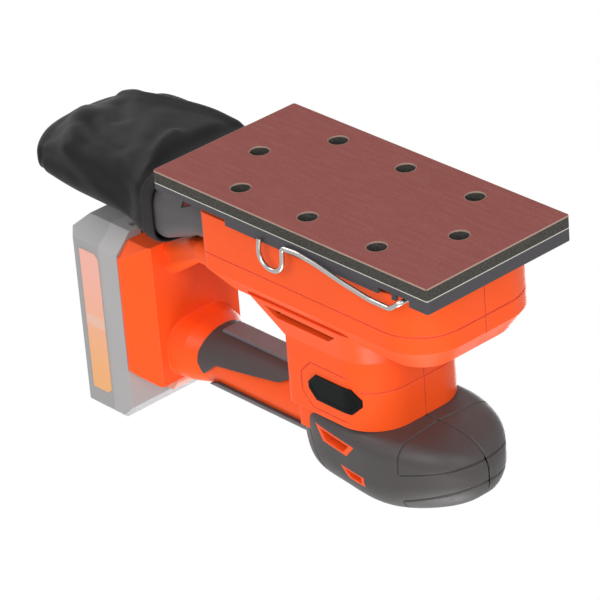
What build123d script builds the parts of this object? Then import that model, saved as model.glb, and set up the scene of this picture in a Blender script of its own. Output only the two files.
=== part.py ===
from build123d import *
import os
from math import cos, radians, sin

# Cordless third-sheet orbital sander, standing on its sanding face.
# X points to the tool's left, Y to its rear and Z up. The origin is the centre of the sanding face.
# All lengths are millimetres.

# Fits and fasteners
slide_clearance = 0.4
seat_clearance = 0.1
running_clearance = 0.05
press_clearance = 0.02
least_corner = 0.5
overlap = 1.0
screw_radius = 1.6
screw_head_radius = 3.0
screw_head_height = 2.4
screw_boss_radius = 3.5
screw_boss_overlap = 0.8
screw_sink = 4.0
screw_grip = 10.0

# Places of the housing screws
skirt_screw_share = 0.75
skirt_screw_lift = 9.0
head_screw_lift = 22.0
head_screw_reach = 3.4
rear_screw_lift = 31.0
rear_screw_inset = 2.0
rear_screw_reach = 1.5
grip_screw_front = 2.0
grip_screw_rear = 12.0
column_screw_low = 9.0
column_screw_high = 7.0

# Pad stack, from the sanding face upwards
pad_length = 187.0
pad_width = 93.0
pad_corner = 1.2
sheet_thickness = 0.8
foam_thickness = 5.5
film_thickness = 0.5
platen_plate = 3.2
platen_lip_height = 6.5
platen_lip_wall = 2.0
dust_hole_radius = 5.0
dust_hole_x = 32.0
dust_hole_pitch = 46.5
dust_hole_end = 68.0
notch_width = 9.0
notch_pitch = 11.5
lip_rear_end = 43.0

# Paper clamps
wire_radius = 1.25
clamp_rod_y = 77.0
clamp_rod_lift = 2.2
clamp_wire_gap = 0.45
jaw_half_length = 32.0
jaw_bar_radius = 2.1
jaw_lip = 5.5
jaw_lip_thickness = 1.25
lug_x = 37.0
lug_half_width = 2.0
lug_half_length = 3.0
lug_cover = 1.0
loop_width = 17.0
loop_height = 14.5
loop_rear = 19.5
wire_crest = 5.2
wire_dip = 2.6

# Lower housing
pad_gap = 2.2
wall = 2.5
skirt_half_width = 41.5
skirt_front = 82.5
skirt_rear = 70.7
skirt_corner_front = 25.0
skirt_corner_rear = 7.0
skirt_wall_height = 30.5
skirt_chamfer_in = 8.0
skirt_chamfer_up = 11.0
groove_lift = 21.5
groove_width = 1.0
groove_depth = 0.7
seam_half = 0.25

# Head above the lower housing
head_half_width = 33.5
head_front = 38.0
head_rear = 25.0
head_corner_front = 22.0
head_corner_rear = 6.0
head_height = 50.0
head_groove_drop = 21.0
head_groove_front = 26.0
shoulder_half_width = 38.0
shoulder_front = 42.0
shoulder_rear = 46.0
shoulder_corner_rear = 8.0
shoulder_sink = 4.0
shoulder_height = 15.0
neck_inset = 4.0
neck_rise = 14.0

# Palm grip over the head: distance forward, half width, lift of its lower side and height above the head
grip_skin = 3.0
palm_corner_low = 9.0
palm_corner_high = 17.0
palm_front = 79.0
palm_sections = (
    (-30.0, 18.5, 4.0, 36.0),
    (-18.0, 27.0, 0.5, 39.5),
    (0.0, 33.0, 0.0, 40.5),
    (22.0, 35.0, 0.0, 41.0),
    (44.0, 33.5, 0.0, 40.0),
    (61.0, 27.0, 0.5, 36.5),
    (72.0, 18.5, 4.0, 32.0),
    (77.3, 9.5, 9.5, 27.0),
    (palm_front, 4.0, 14.0, 22.5),
)

# Handle
handle_half_width = 15.0
handle_bottom = 111.0
handle_top = 141.5
handle_corner = 14.0
handle_front = 18.0
grip_pad_skin = 2.0
grip_pad_front = 40.0
grip_pad_rear = 111.0
strip_drop = 8.0
strip_point = 8.0
strip_rear = 106.0
flare_start = 106.0
flare_half_width = 22.5
flare_drop = 3.0
flare_bulge = 0.7

# Rear column and lower arm
column_front = 126.0
column_depth = 16.0
column_half_width = 36.0
column_front_half_width = 27.0
column_bottom = 62.0
column_end_chamfer = 8.0
column_edge = 2.0
arm_front = 54.0
arm_front_half_width = 31.0
arm_front_height = 13.0
arm_drop = 0.5
arm_rear_half_width = 18.0
arm_rear_bottom = 60.0
arm_rear_top = 83.0
arm_mid = 88.0
arm_mid_half_width = 30.0
arm_mid_height = 11.0
arm_corner = 4.0
arm_rear_corner = 8.0

# Badge plates and vents
badge_thickness = 1.2
badge_proud = 0.4
badge_front = 27.0
badge_length = 33.5
badge_bottom = 85.0
badge_height = 13.5
badge_corner = 5.0
badge_border = 6.0
badge_rim_width = 1.2
badge_rim_height = 0.35

# Drive
drive_y = -6.0
orbit_radius = 1.0
shaft_radius = 4.0
bearing_radius = 11.0
bearing_height = 7.0
pad_bearing_seat = 2.0
pad_boss_radius = 14.0
pad_boss_height = 10.0
pad_screw_head = 3.6
pad_washer_radius = 7.5
pad_washer_thickness = 1.0
washer_room = 1.5
pad_screw_length = 6.0
pad_screw_socket = 1.6
pad_screw_socket_depth = 1.2
counterweight_gap = 2.0
counterweight_height = 6.0
counterweight_hub = 15.0
counterweight_radius = 25.0
counterweight_cut = 2.0
fan_gap = 1.0
fan_height = 9.0
fan_radius = 28.0
fan_hub = 9.0
fan_blades = 9
fan_blade_thickness = 1.6
fan_disc = 1.6
bearing_plate_gap = 3.0
bearing_plate_lift = 2.0
shaft_end = 1.0
bearing_plate_thickness = 3.5
bearing_boss_radius = 14.5
bearing_plate_half_width = 36.0
bearing_plate_front = 40.0
bearing_plate_rear = 30.0
ledge_width = 5.0
ledge_height = 3.5

# Motor
motor_gap = 3.0
motor_radius = 22.0
motor_length = 46.0
motor_wall = 2.0
motor_end = 3.0
magnet_thickness = 1.9
magnet_angle = 120.0
armature_radius = 16.8
armature_core = 10.4
armature_slot = 2.4
armature_slots = 10
armature_length = 26.0
armature_lift = 8.0
commutator_radius = 7.0
commutator_length = 9.0
commutator_gap = 3.0
brush_gap = 0.4
brush_width = 5.0
brush_length = 9.0
brush_cap_height = 12.0
motor_rib_height = 3.0
motor_rib_low = 8.0
motor_rib_high = 37.0

# Base plate and rubber legs
base_gap = 1.5
base_thickness = 3.0
base_bore = 31.0
base_screw_front = 48.0
base_screw_rear = 50.0
base_boss_radius = 4.0
base_boss_height = 25.0
base_boss_overlap = 0.8
base_screw_seat = 2.0
base_screw_head = 1.8
base_boss_end = 5.0
leg_x = 22.0
leg_front = 62.0
leg_rear = 57.0
leg_foot_radius = 7.0
leg_neck_radius = 4.5
leg_foot_height = 3.0
leg_button_height = 3.0
leg_flange_height = 1.5
leg_button_inset = 1.0

# Dust outlet and bag
spout_half_width = 32.0
spout_bottom_lift = 3.1
spout_height = 19.6
spout_corner = 9.0
spout_length = 14.0
collar_wall = 2.4
collar_length = 46.0
collar_rear_half_width = 38.0
collar_rear_top = 48.0
arrow_half = 2.6
arrow_length = 6.4
arrow_depth = 1.0
arrow_setback = 18.0
arrow_drop = 7.0
bag_overlap = 12.0
bag_cloth = 2.2
bag_length = 101.0
bag_fit = 0.3
bag_corner = 13.0

# Switch in the handle
trigger_front = 50.0
trigger_length = 52.0
trigger_half_width = 5.5
trigger_proud = 1.0
trigger_travel = 3.0
trigger_flange = 2.0
trigger_flange_height = 2.0
trigger_flange_lift = 2.5
switch_front = 54.0
switch_length = 26.0
switch_half_width = 7.5
switch_height = 12.0
switch_lift = 10.5
switch_rib = 3.0
trigger_spring_radius = 3.0
trigger_spring_wire = 0.5
trigger_spring_turns = 5
trigger_spring_y = 72.0
lead_radius = 1.2
lead_spread = 5.5
lead_bend = 5.0
lead_level = 2.0
lead_room = 4.5

# Battery and its mount
rail_inner = 15.0
rail_web = 3.0
rail_flange = 6.0
rail_depth = 6.5
rail_flange_depth = 3.0
rail_bottom_lift = 10.0
rail_height = 56.0
terminal_half_width = 14.0
terminal_bottom_lift = 16.0
terminal_height = 42.0
post_radius = 2.5
post_inset = 8.0
blade_pitch = 8.0
blade_thickness = 1.0
blade_length = 6.0
blade_height = 20.0
board_thickness = 1.6
board_half_width = 18.0
board_gap = 1.8
battery_half_width = 36.0
battery_bottom = 58.0
battery_height = 110.0
battery_front_depth = 14.0
battery_rear_depth = 26.5
battery_wall = 2.0
battery_chamfer = 7.0
battery_end_chamfer = 6.0
battery_foot_chamfer = 10.0
battery_brow = 12.0
cell_radius = 9.1
cell_length = 65.0
cell_count = 5
cell_pitch = 18.4
cell_gap = 0.3
label_thickness = 0.4
label_width = 14.0
label_height = 80.0
label_gap = 1.0
label_corner = 2.5
release_half_width = 12.0
release_height = 11.0
release_proud = 8.0
release_depth = 6.0
release_travel = 2.5
release_lift = 1.5
release_spring_radius = 3.0
release_spring_length = 2.0
release_slope = 4.0
release_slope_height = 5.0

# Levels and places worked out from the sizes above
foam_bottom = sheet_thickness
film_bottom = foam_bottom + foam_thickness
platen_bottom = film_bottom + film_thickness
plate_top = platen_bottom + platen_plate
platen_top = platen_bottom + platen_lip_height
rod_z_level = plate_top + clamp_rod_lift
housing_bottom = platen_top + pad_gap
skirt_wall_top = housing_bottom + skirt_wall_height
deck = skirt_wall_top + skirt_chamfer_up
head_top = deck + head_height
badge_depth = badge_thickness - badge_proud
base_bottom = housing_bottom + base_gap
base_screw_x = skirt_half_width - wall - base_boss_radius + base_boss_overlap
base_top = base_bottom + base_thickness
pin_y = drive_y - orbit_radius
pad_bearing_bottom = plate_top + pad_bearing_seat
pad_boss_top = plate_top + pad_boss_height
counterweight_bottom = pad_boss_top + counterweight_gap
counterweight_top = counterweight_bottom + counterweight_height
fan_bottom = counterweight_top + fan_gap
fan_top = fan_bottom + fan_height
lower_bearing_bottom = fan_top + bearing_plate_gap
lower_bearing_top = lower_bearing_bottom + bearing_height
bearing_plate_bottom = lower_bearing_bottom + bearing_plate_lift
motor_bottom = lower_bearing_top + motor_gap
motor_top = motor_bottom + motor_length
armature_bottom = motor_bottom + armature_lift
armature_top = armature_bottom + armature_length
commutator_bottom = armature_top + commutator_gap
commutator_top = commutator_bottom + commutator_length
brush_cap_top = motor_top + brush_cap_height
upper_bearing_bottom = motor_top + motor_end
shaft_top = upper_bearing_bottom + bearing_height + shaft_end
column_top = handle_top
column_rear = column_front + column_depth
rail_bottom = column_bottom + rail_bottom_lift
rail_top = rail_bottom + rail_height
rail_rear = column_rear + rail_depth
battery_front = column_rear + slide_clearance
battery_parting = battery_front + battery_front_depth
battery_rear = battery_parting + battery_rear_depth
battery_top = battery_bottom + battery_height
slot_back = rail_rear + slide_clearance
terminal_bottom = column_bottom + terminal_bottom_lift
terminal_top = terminal_bottom + terminal_height
blade_bottom = (terminal_bottom + terminal_top - blade_height) / 2
blade_end = rail_rear + blade_length
board_rear = column_front + wall + board_gap + board_thickness
spout_bottom = housing_bottom + spout_bottom_lift
spout_top = spout_bottom + spout_height
collar_front = skirt_rear + slide_clearance
collar_rear = collar_front + collar_length
collar_bottom = spout_bottom - slide_clearance - collar_wall
bag_front = collar_rear - bag_overlap
trigger_rear = trigger_front + trigger_length
trigger_bottom = handle_bottom - grip_pad_skin - trigger_proud
flange_bottom = handle_bottom + wall + trigger_flange_lift
flange_top = flange_bottom + trigger_flange_height
switch_bottom = handle_bottom + wall + switch_lift
switch_top = switch_bottom + switch_height
switch_rear = switch_front + switch_length
release_bottom = column_top + release_lift
release_top = release_bottom + release_height
release_front = column_rear - release_proud
release_back = battery_front + release_depth
far = 400.0


def block(x0, x1, y0, y1, z0, z1):
    """Box between two corners."""
    return Pos((x0 + x1) / 2, (y0 + y1) / 2, (z0 + z1) / 2) * Box(x1 - x0, y1 - y0, z1 - z0)


def rod_x(radius, x0, x1, y, z):
    """Round bar across the tool."""
    return Pos((x0 + x1) / 2, y, z) * Rot(0, 90, 0) * Cylinder(radius, x1 - x0)


def rod_y(radius, x, y0, y1, z):
    """Round bar along the tool."""
    return Pos(x, (y0 + y1) / 2, z) * Rot(90, 0, 0) * Cylinder(radius, y1 - y0)


def rod_z(radius, x, y, z0, z1):
    """Upright round bar."""
    return Pos(x, y, (z0 + z1) / 2) * Cylinder(radius, z1 - z0)


def ring_z(outer, inner, x, y, z0, z1):
    """Upright tube."""
    return rod_z(outer, x, y, z0, z1) - rod_z(inner, x, y, z0, z1)


def plan(half_width, front, rear, corner_front, corner_rear, z):
    """Outline seen from above, a rectangle with its own corner radii at the front and at the rear."""
    sheet = Pos(0, (rear - front) / 2) * Rectangle(2 * half_width, rear + front)
    sheet = fillet(sheet.vertices().group_by(Axis.Y)[0], max(corner_front, least_corner))
    sheet = fillet(sheet.vertices().group_by(Axis.Y)[-1], max(corner_rear, least_corner))
    return Pos(0, 0, z) * sheet


def section(y, half_width, bottom, top, corner_low, corner_high):
    """Upright cross-section at y, a rectangle with its own corner radii below and above."""
    limit = min(0.95 * half_width, 0.48 * (top - bottom))
    sheet = Pos(0, (bottom + top) / 2) * Rectangle(2 * half_width, top - bottom)
    sheet = fillet(sheet.vertices().group_by(Axis.Y)[0], max(least_corner, min(corner_low, limit)))
    sheet = fillet(sheet.vertices().group_by(Axis.Y)[-1], max(least_corner, min(corner_high, limit)))
    return Plane(origin=(0, y, 0), x_dir=(1, 0, 0), z_dir=(0, -1, 0)) * sheet


def beam(half_width, bottom, top, corner, y0, y1):
    """Straight bar along the tool with one rounded cross-section."""
    return extrude(section(y0, half_width, bottom, top, corner, corner), y1 - y0, dir=(0, 1, 0))


def side_prism(points, x0, x1):
    """Bar across the tool from an outline of (y, z) points."""
    sheet = Plane.YZ * make_face(Polyline(*points, close=True))
    return Pos(x0, 0, 0) * extrude(sheet, x1 - x0, dir=(1, 0, 0))


def plan_prism(points, z0, z1):
    """Upright bar from an outline of (x, y) points."""
    sheet = make_face(Polyline(*points, close=True))
    return Pos(0, 0, z0) * extrude(sheet, z1 - z0, dir=(0, 0, 1))


def front_prism(points, y0, y1):
    """Bar along the tool from an outline of (x, z) points."""
    sheet = Plane(origin=(0, y0, 0), x_dir=(1, 0, 0), z_dir=(0, -1, 0)) * make_face(
        Polyline(*points, close=True)
    )
    return extrude(sheet, y1 - y0, dir=(0, 1, 0))


def left_of_middle(shape):
    """The part of a shape on the tool's left."""
    return shape & block(0, far, -far, far, -far, far)


def mirrored(shape):
    """Mirror image of a shape on the other side of the middle plane."""
    return mirror(shape, about=Plane.YZ)


def turned(shape):
    """A shape turned half round the upright axis."""
    return Rot(0, 0, 180) * shape


def both_sides(shape):
    """A shape and its mirror image on the other side of the middle plane."""
    return shape + mirrored(shape)


# Housing forms, each drawn smaller by an inset for the hollow inside


def skirt(inset, bottom):
    """Lower housing over the pad, upright walls with a sloped shoulder round the top."""
    low = plan(
        skirt_half_width - inset,
        skirt_front - inset,
        skirt_rear - inset,
        skirt_corner_front - inset,
        skirt_corner_rear - inset,
        skirt_wall_top,
    )
    high = plan(
        skirt_half_width - skirt_chamfer_in - inset,
        skirt_front - skirt_chamfer_in - inset,
        skirt_rear - skirt_chamfer_in - inset,
        skirt_corner_front - skirt_chamfer_in - inset,
        skirt_corner_rear - inset,
        deck - inset,
    )
    walls = extrude(low, skirt_wall_top - bottom, dir=(0, 0, -1))
    return walls + loft([low, high], ruled=True)


def head(inset, bottom, top):
    """Upright head round the motor."""
    outline = plan(
        head_half_width - inset,
        head_front - inset,
        head_rear - inset,
        head_corner_front - inset,
        head_corner_rear - inset,
        bottom,
    )
    return extrude(outline, top - bottom, dir=(0, 0, 1))


def shoulder(inset):
    """Flared foot of the head, longer towards the rear."""
    low = plan(
        shoulder_half_width - inset,
        shoulder_front - inset,
        shoulder_rear - inset,
        head_corner_front - inset,
        shoulder_corner_rear - inset,
        deck - shoulder_sink - inset,
    )
    tuck = 0.5
    high = plan(
        head_half_width - tuck - inset,
        head_front - tuck - inset,
        head_rear - tuck - inset,
        head_corner_front - inset,
        head_corner_rear - inset,
        deck + shoulder_height,
    )
    return loft([low, high], ruled=True)


def half_section(y, half_width, bottom, top, corner_low, corner_high):
    """Left half of an upright cross-section at y, flat on the middle plane and rounded outside."""
    limit = min(0.95 * half_width, 0.48 * (top - bottom))
    sheet = Pos(half_width / 2, (bottom + top) / 2) * Rectangle(half_width, top - bottom)
    sheet = fillet(sheet.vertices().group_by(Axis.X)[-1].sort_by(Axis.Y)[0], min(corner_low, limit))
    sheet = fillet(sheet.vertices().group_by(Axis.Y)[-1].sort_by(Axis.X)[-1], min(corner_high, limit))
    return Plane(origin=(0, y, 0), x_dir=(1, 0, 0), z_dir=(0, -1, 0)) * sheet


def palm(inset):
    """Left half of the palm form on top of the head, lofted from rear to front."""
    sections = []
    for forward, half_width, lift, height in palm_sections:
        low = head_top + lift + inset
        high = head_top + height - inset
        if half_width - inset < grip_skin or high - low < grip_skin:
            continue
        y = -forward * (1 - inset / palm_front)
        sections.append(half_section(y, half_width - inset, low, high, palm_corner_low, palm_corner_high))
    return loft(sections)


def handle(inset):
    """Handle bar from the head to the rear column, with a flare where it meets the column."""
    half_width = handle_half_width - inset
    corner = handle_corner - inset
    end_y = column_front + inset + overlap
    low = handle_bottom + inset
    high = handle_top - inset
    bar = beam(half_width, low, high, corner, handle_front, end_y)
    wide = flare_half_width - inset
    swell_width = half_width + flare_bulge * (wide - half_width)
    start = section(flare_start, half_width, low, high, corner, corner)
    swell = section(
        (flare_start + end_y) / 2, swell_width, low - flare_bulge * flare_drop, high, corner, corner
    )
    end = section(end_y, wide, low - flare_drop, high, corner, corner)
    return bar + loft([start, swell, end], ruled=True)


def column(inset):
    """Rear column that carries the battery, with sloped front corners and chamfered ends."""
    slope = (column_half_width - column_front_half_width) / column_depth
    front = column_front_half_width - inset + slope * inset
    wide = column_half_width - inset
    edge = column_rear - inset
    corner = edge - column_edge
    nose = column_front + inset
    outline = [
        (-front, nose), (front, nose), (wide, corner), (wide, edge), (-wide, edge), (-wide, corner)
    ]
    low = column_bottom + inset
    high = column_top - inset
    cut = column_end_chamfer
    ends = [
        (-wide + cut, low),
        (wide - cut, low),
        (wide, low + cut),
        (wide, high - cut),
        (wide - cut, high),
        (-wide + cut, high),
        (-wide, high - cut),
        (-wide, low + cut),
    ]
    return plan_prism(outline, low, high) & front_prism(ends, column_front, column_rear)


def arm(inset):
    """Lower arm from the lower housing up to the column."""
    front_top = deck - arm_drop
    start = section(
        arm_front,
        arm_front_half_width - inset,
        front_top - arm_front_height + inset,
        front_top - inset,
        arm_corner,
        arm_corner,
    )
    middle = section(
        arm_mid,
        arm_mid_half_width - inset,
        front_top - arm_mid_height + inset,
        front_top - inset,
        arm_corner,
        arm_corner,
    )
    end = section(
        column_front + inset + overlap,
        arm_rear_half_width - inset,
        arm_rear_bottom + inset,
        arm_rear_top - inset,
        arm_rear_corner - inset,
        arm_rear_corner - inset,
    )
    return loft([start, middle, end], ruled=True)


def spout(inset, y0, y1):
    """Oval dust outlet at the rear of the lower housing."""
    return beam(
        spout_half_width - inset, spout_bottom + inset, spout_top - inset, spout_corner - inset, y0, y1
    )


def housing_outside():
    """Outer form of the left housing half."""
    neck = head(neck_inset, head_top - neck_rise, head_top + neck_rise)
    form = skirt(0, housing_bottom) + shoulder(0) + head(0, deck - shoulder_sink, head_top) + neck
    form += handle(0)
    form += column(0)
    form += arm(0)
    form += spout(0, skirt_rear - wall, skirt_rear + spout_length)
    return left_of_middle(form) + palm(grip_skin)


def housing_hollow():
    """Space inside the left housing half."""
    neck = head(neck_inset + wall, head_top - neck_rise, head_top + neck_rise)
    space = skirt(wall, housing_bottom - 1) + shoulder(wall) + head(
        wall, deck - 2 * shoulder_sink, head_top - wall
    ) + neck
    space += handle(wall)
    space += column(wall)
    space += arm(wall)
    space += spout(wall, skirt_rear - 2 * wall, skirt_rear + spout_length + 1)
    return left_of_middle(space) + palm(grip_skin + wall)


# Places shared by several pieces


def rounded_reach(half_width, end, corner, y):
    """Half width of an outline with rounded corners, at a distance along it."""
    past = max(0.0, abs(y) - (end - corner))
    return half_width - corner + (corner**2 - past**2) ** 0.5


def screw_sites():
    """Housing screws as (y, z, distance of the outer face from the middle)."""
    skirt_y = -skirt_screw_share * skirt_front
    skirt_face = rounded_reach(skirt_half_width, skirt_front, skirt_corner_front, skirt_y)
    front_y = -(head_front - wall - screw_boss_radius + screw_boss_overlap)
    front_face = rounded_reach(head_half_width, head_front, head_corner_front, front_y - head_screw_reach)
    rear_y = head_rear - wall - rear_screw_inset
    rear_face = rounded_reach(head_half_width, head_rear, head_corner_rear, head_rear - rear_screw_reach)
    column_y = column_front + column_depth / 2
    column_face = (column_half_width + column_front_half_width) / 2
    grip_z = handle_top - handle_corner + screw_boss_radius
    return [
        (skirt_y, base_top + skirt_screw_lift, skirt_face),
        (arm_mid, deck - arm_drop - arm_mid_height / 2, arm_mid_half_width),
        (front_y, deck + head_screw_lift, front_face),
        (rear_y, deck + rear_screw_lift, rear_face),
        (grip_pad_front + grip_screw_front, grip_z, handle_half_width),
        (grip_pad_rear - grip_screw_rear, grip_z, handle_half_width),
        (column_y, column_bottom + column_screw_low, column_face),
        (column_y, column_top - column_screw_high, column_face),
    ]


def base_screw_sites():
    """Upright screws that hold the base plate, as (x, y)."""
    return [(side * base_screw_x, y) for side in (-1, 1) for y in (-base_screw_front, base_screw_rear)]


def leg_sites():
    """Rubber legs as (x, y)."""
    return [(side * leg_x, y) for side in (-1, 1) for y in (-leg_front, leg_rear)]


def dust_hole_sites():
    """Dust holes of the pad as (x, y)."""
    sites = [(side * dust_hole_x, row * dust_hole_pitch) for side in (-1, 1) for row in (-1, 0, 1)]
    return sites + [(0, -dust_hole_end), (0, dust_hole_end)]


def vent_outlines():
    """Slanted vents of the palm grip as outlines of (y, z) points, with y towards the rear."""
    first = [
        (7.0, head_top + 7), (-23.5, head_top + 8.5), (-17.5, head_top + 15.5), (1.0, head_top + 14.5)
    ]
    second = [
        (-12.0, head_top + 22), (-29.0, head_top + 22.8), (-29.5, head_top + 28), (-18.0, head_top + 27.2)
    ]
    return [first, second]


def shrunk(points, share):
    """Outline drawn towards its own middle."""
    middle_y = sum(p[0] for p in points) / len(points)
    middle_z = sum(p[1] for p in points) / len(points)
    return [(middle_y + share * (y - middle_y), middle_z + share * (z - middle_z)) for y, z in points]


def side_slot_outline():
    """Long slanted air slot in the shoulder, as (y, z) points."""
    return [(31.0, deck - 1.5), (-18.0, deck - 0.5), (-12.0, deck + 4.0), (24.0, deck + 4.0)]


def badge_outline(border):
    """Eight-sided badge outline on the head's side, as (y, z) points, grown by a border."""
    front = -badge_front - border
    rear = badge_length - badge_front + border
    low = badge_bottom - border
    high = badge_bottom + badge_height + border
    cut = badge_corner + border * 0.4
    return [
        (front + cut, low),
        (rear - cut, low),
        (rear, low + cut),
        (rear, high - cut),
        (rear - cut, high),
        (front + cut, high),
        (front, high - cut),
        (front, low + cut),
    ]


def badge_skin(border, rise, depth):
    """Layer of the head's side inside the badge outline, from a depth under its face to a rise above it."""
    low = badge_bottom - 2 * badge_border
    high = badge_bottom + badge_height + 2 * badge_border
    side = side_prism(badge_outline(border), head_half_width / 2, far / 2)
    return side & (head(-rise, low, high) - head(depth, low - 1, high + 1))


def grip_pad_outline():
    """Side outline of the handle's grip pads, as (y, z) points."""
    under = handle_bottom - 3 * grip_pad_skin
    return [
        (grip_pad_front, under),
        (grip_pad_front, handle_bottom - 0.5),
        (grip_pad_front + 12.0, handle_bottom + 5.5),
        (grip_pad_rear - 14.5, handle_bottom + 11.5),
        (grip_pad_rear - 4.5, handle_bottom + 20.0),
        (grip_pad_rear, handle_bottom + 13.0),
        (grip_pad_rear - 3.5, handle_bottom + 1.0),
        (grip_pad_rear - 5.0, under),
    ]


def trigger_slot():
    """Opening in the handle's underside for the trigger."""
    half = trigger_half_width + slide_clearance
    return block(
        -half,
        half,
        trigger_front - slide_clearance,
        trigger_rear + slide_clearance,
        handle_bottom - 3 * grip_pad_skin,
        flange_bottom,
    )


# Housing halves and the pieces fixed to them


def housing_fittings(outside, hollow):
    """Ribs, bosses, rails and vent rims that join the left housing shell."""
    fittings = []
    for y, z, face in screw_sites():
        fittings.append(outside & rod_x(screw_boss_radius, -far / 2, far / 2, y, z))
    for x, y in base_screw_sites():
        fittings.append(outside & rod_z(base_boss_radius, x, y, base_top, base_top + base_boss_height))
    for lift in (motor_rib_low, motor_rib_high):
        low = motor_bottom + lift
        slab = block(0, far, -far, head_rear, low, low + motor_rib_height)
        fittings.append((outside & slab) - rod_z(motor_radius + seat_clearance, 0, drive_y, 0, far))
    for y in (switch_front + 2.0, switch_rear - 2.0 - switch_rib):
        rib = hollow & block(
            -handle_half_width, handle_half_width, y, y + switch_rib, switch_bottom + 2, handle_top
        )
        gap = seat_clearance
        window = block(
            -switch_half_width - gap,
            switch_half_width + gap,
            y - 1,
            y + switch_rib + 1,
            handle_bottom,
            switch_top + gap,
        )
        fittings.append(rib - window)
    inner = skirt_half_width - wall
    ledge = block(
        inner - ledge_width,
        inner + 0.5 * wall,
        -bearing_plate_front + 8.0,
        bearing_plate_rear - 8.0,
        bearing_plate_bottom - ledge_height,
        bearing_plate_bottom,
    )
    fittings.append(ledge)
    web = block(rail_inner, rail_inner + rail_web, column_rear - wall, rail_rear, rail_bottom, rail_top)
    flange = block(
        rail_inner,
        rail_inner + rail_flange,
        rail_rear - rail_flange_depth,
        rail_rear,
        rail_bottom,
        rail_top,
    )
    fittings.append(web + flange)
    skin = palm(0) - outside
    for outline in vent_outlines():
        fittings.append(skin & side_prism(shrunk(outline, 0.98), 0, far / 2))
    return fittings


def groove_cuts():
    """Fine lines round the lower housing and the front of the head, and round the badges."""
    z = housing_bottom + groove_lift
    band = block(-far, far, -far, far, z - groove_width / 2, z + groove_width / 2)
    lower = band & (skirt(-1, housing_bottom) - skirt(groove_depth, housing_bottom))
    z = head_top - head_groove_drop
    front = block(-far, far, -far, -head_groove_front, z - groove_width / 2, z + groove_width / 2)
    upper = front & (head(-1, deck, head_top) - head(groove_depth, deck, head_top))
    depth = head_half_width - groove_depth
    ring = side_prism(badge_outline(badge_border), depth, head_half_width + 1)
    ring -= side_prism(badge_outline(badge_border - groove_width), depth - 1, head_half_width + 2)
    parting = block(0, seam_half, -far, -shoulder_front, -far, far)
    lower_seam = parting & (skirt(-1, housing_bottom) - skirt(groove_depth, housing_bottom))
    parting = block(0, seam_half, -far, -head_groove_front, deck + shoulder_height, head_top)
    upper_seam = parting & (head(-1, deck, head_top) - head(groove_depth, deck, head_top))
    return [lower, upper, ring, lower_seam, upper_seam]


def housing_shell(outside, hollow):
    """Left housing half with its fittings and openings, before its screw holes."""
    shell = outside - hollow
    for fitting in housing_fittings(outside, hollow):
        shell += fitting
    for cut in groove_cuts():
        shell -= cut
    shell -= trigger_slot()
    shell -= badge_skin(seat_clearance, 1, badge_depth)
    shell -= side_prism(side_slot_outline(), head_half_width - 4 * wall, far / 2)
    for outline in vent_outlines():
        shell -= side_prism(shrunk(outline, 0.72), head_half_width - 4 * wall, far / 2)
    window = terminal_half_width + seat_clearance
    shell -= block(
        -window,
        window,
        column_rear - 2 * wall,
        rail_rear + 1,
        terminal_bottom - seat_clearance,
        terminal_top + seat_clearance,
    )
    return shell


def housing_half(shell, side):
    """One housing half with its screw holes: side 1 is the left, which takes the threads."""
    half = shell if side > 0 else mirrored(shell)
    for y, z, face in screw_sites():
        if side > 0:
            half -= rod_x(screw_radius + running_clearance, -1, screw_grip + 1, y, z)
        else:
            half -= rod_x(screw_radius + seat_clearance, -face - screw_sink, 1, y, z)
            half -= rod_x(screw_head_radius + slide_clearance, -far / 2, -face + screw_sink, y, z)
    for x, y in base_screw_sites():
        if x * side > 0:
            half -= rod_z(
                screw_radius + running_clearance,
                x,
                y,
                base_top - 1,
                base_top + base_boss_height - base_boss_end,
            )
    return half


def housing_screws():
    """Screws through the right half into the left half."""
    screws = []
    for y, z, face in screw_sites():
        seat = -face + screw_sink
        shank = rod_x(screw_radius, seat, screw_grip, y, z)
        screw_top = rod_x(screw_head_radius, seat - screw_head_height, seat, y, z)
        recess = block(
            seat - screw_head_height, seat - 0.5 * screw_head_height, y - 1.8, y + 1.8, z - 0.4, z + 0.4
        )
        screws.append(shank + screw_top - recess)
    return screws


def palm_grip_halves(outside):
    """Soft palm grip over the head, in two halves that meet on the middle plane."""
    skin = palm(0) - outside
    for outline in vent_outlines():
        skin -= side_prism(outline, 0, far / 2)
    return skin, mirrored(skin)


def grip_skin_ring():
    """Soft layer round the handle, before its outline is cut."""
    outer = beam(
        handle_half_width + grip_pad_skin,
        handle_bottom - grip_pad_skin,
        handle_top + grip_pad_skin,
        handle_corner + grip_pad_skin,
        grip_pad_front - 10,
        grip_pad_rear + 1,
    )
    return outer - handle(0)


def grip_pads():
    """Grip pads on both sides and the underside of the handle."""
    pad = (
        left_of_middle(grip_skin_ring()) & side_prism(grip_pad_outline(), -far / 2, far / 2)
    ) - trigger_slot()
    return pad, mirrored(pad)


def handle_top_strip():
    """Soft strip along the top of the handle, with a pointed rear end."""
    front = -palm_sections[0][0] + seat_clearance
    low = handle_top - strip_drop
    high = handle_top + 2 * grip_pad_skin
    outline = [
        (front, low),
        (strip_rear - strip_point, low),
        (strip_rear, high - strip_point),
        (strip_rear, high),
        (front, high),
    ]
    return grip_skin_ring() & side_prism(outline, -far / 2, far / 2)


def badge(side):
    """Blank eight-sided badge plate with a raised rim, curved like the head's side that it sits in."""
    rim = badge_proud + badge_rim_height
    plate = badge_skin(0, rim, badge_depth) - badge_skin(-badge_rim_width, rim + 1, -badge_proud)
    return plate if side > 0 else mirrored(plate)


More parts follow.
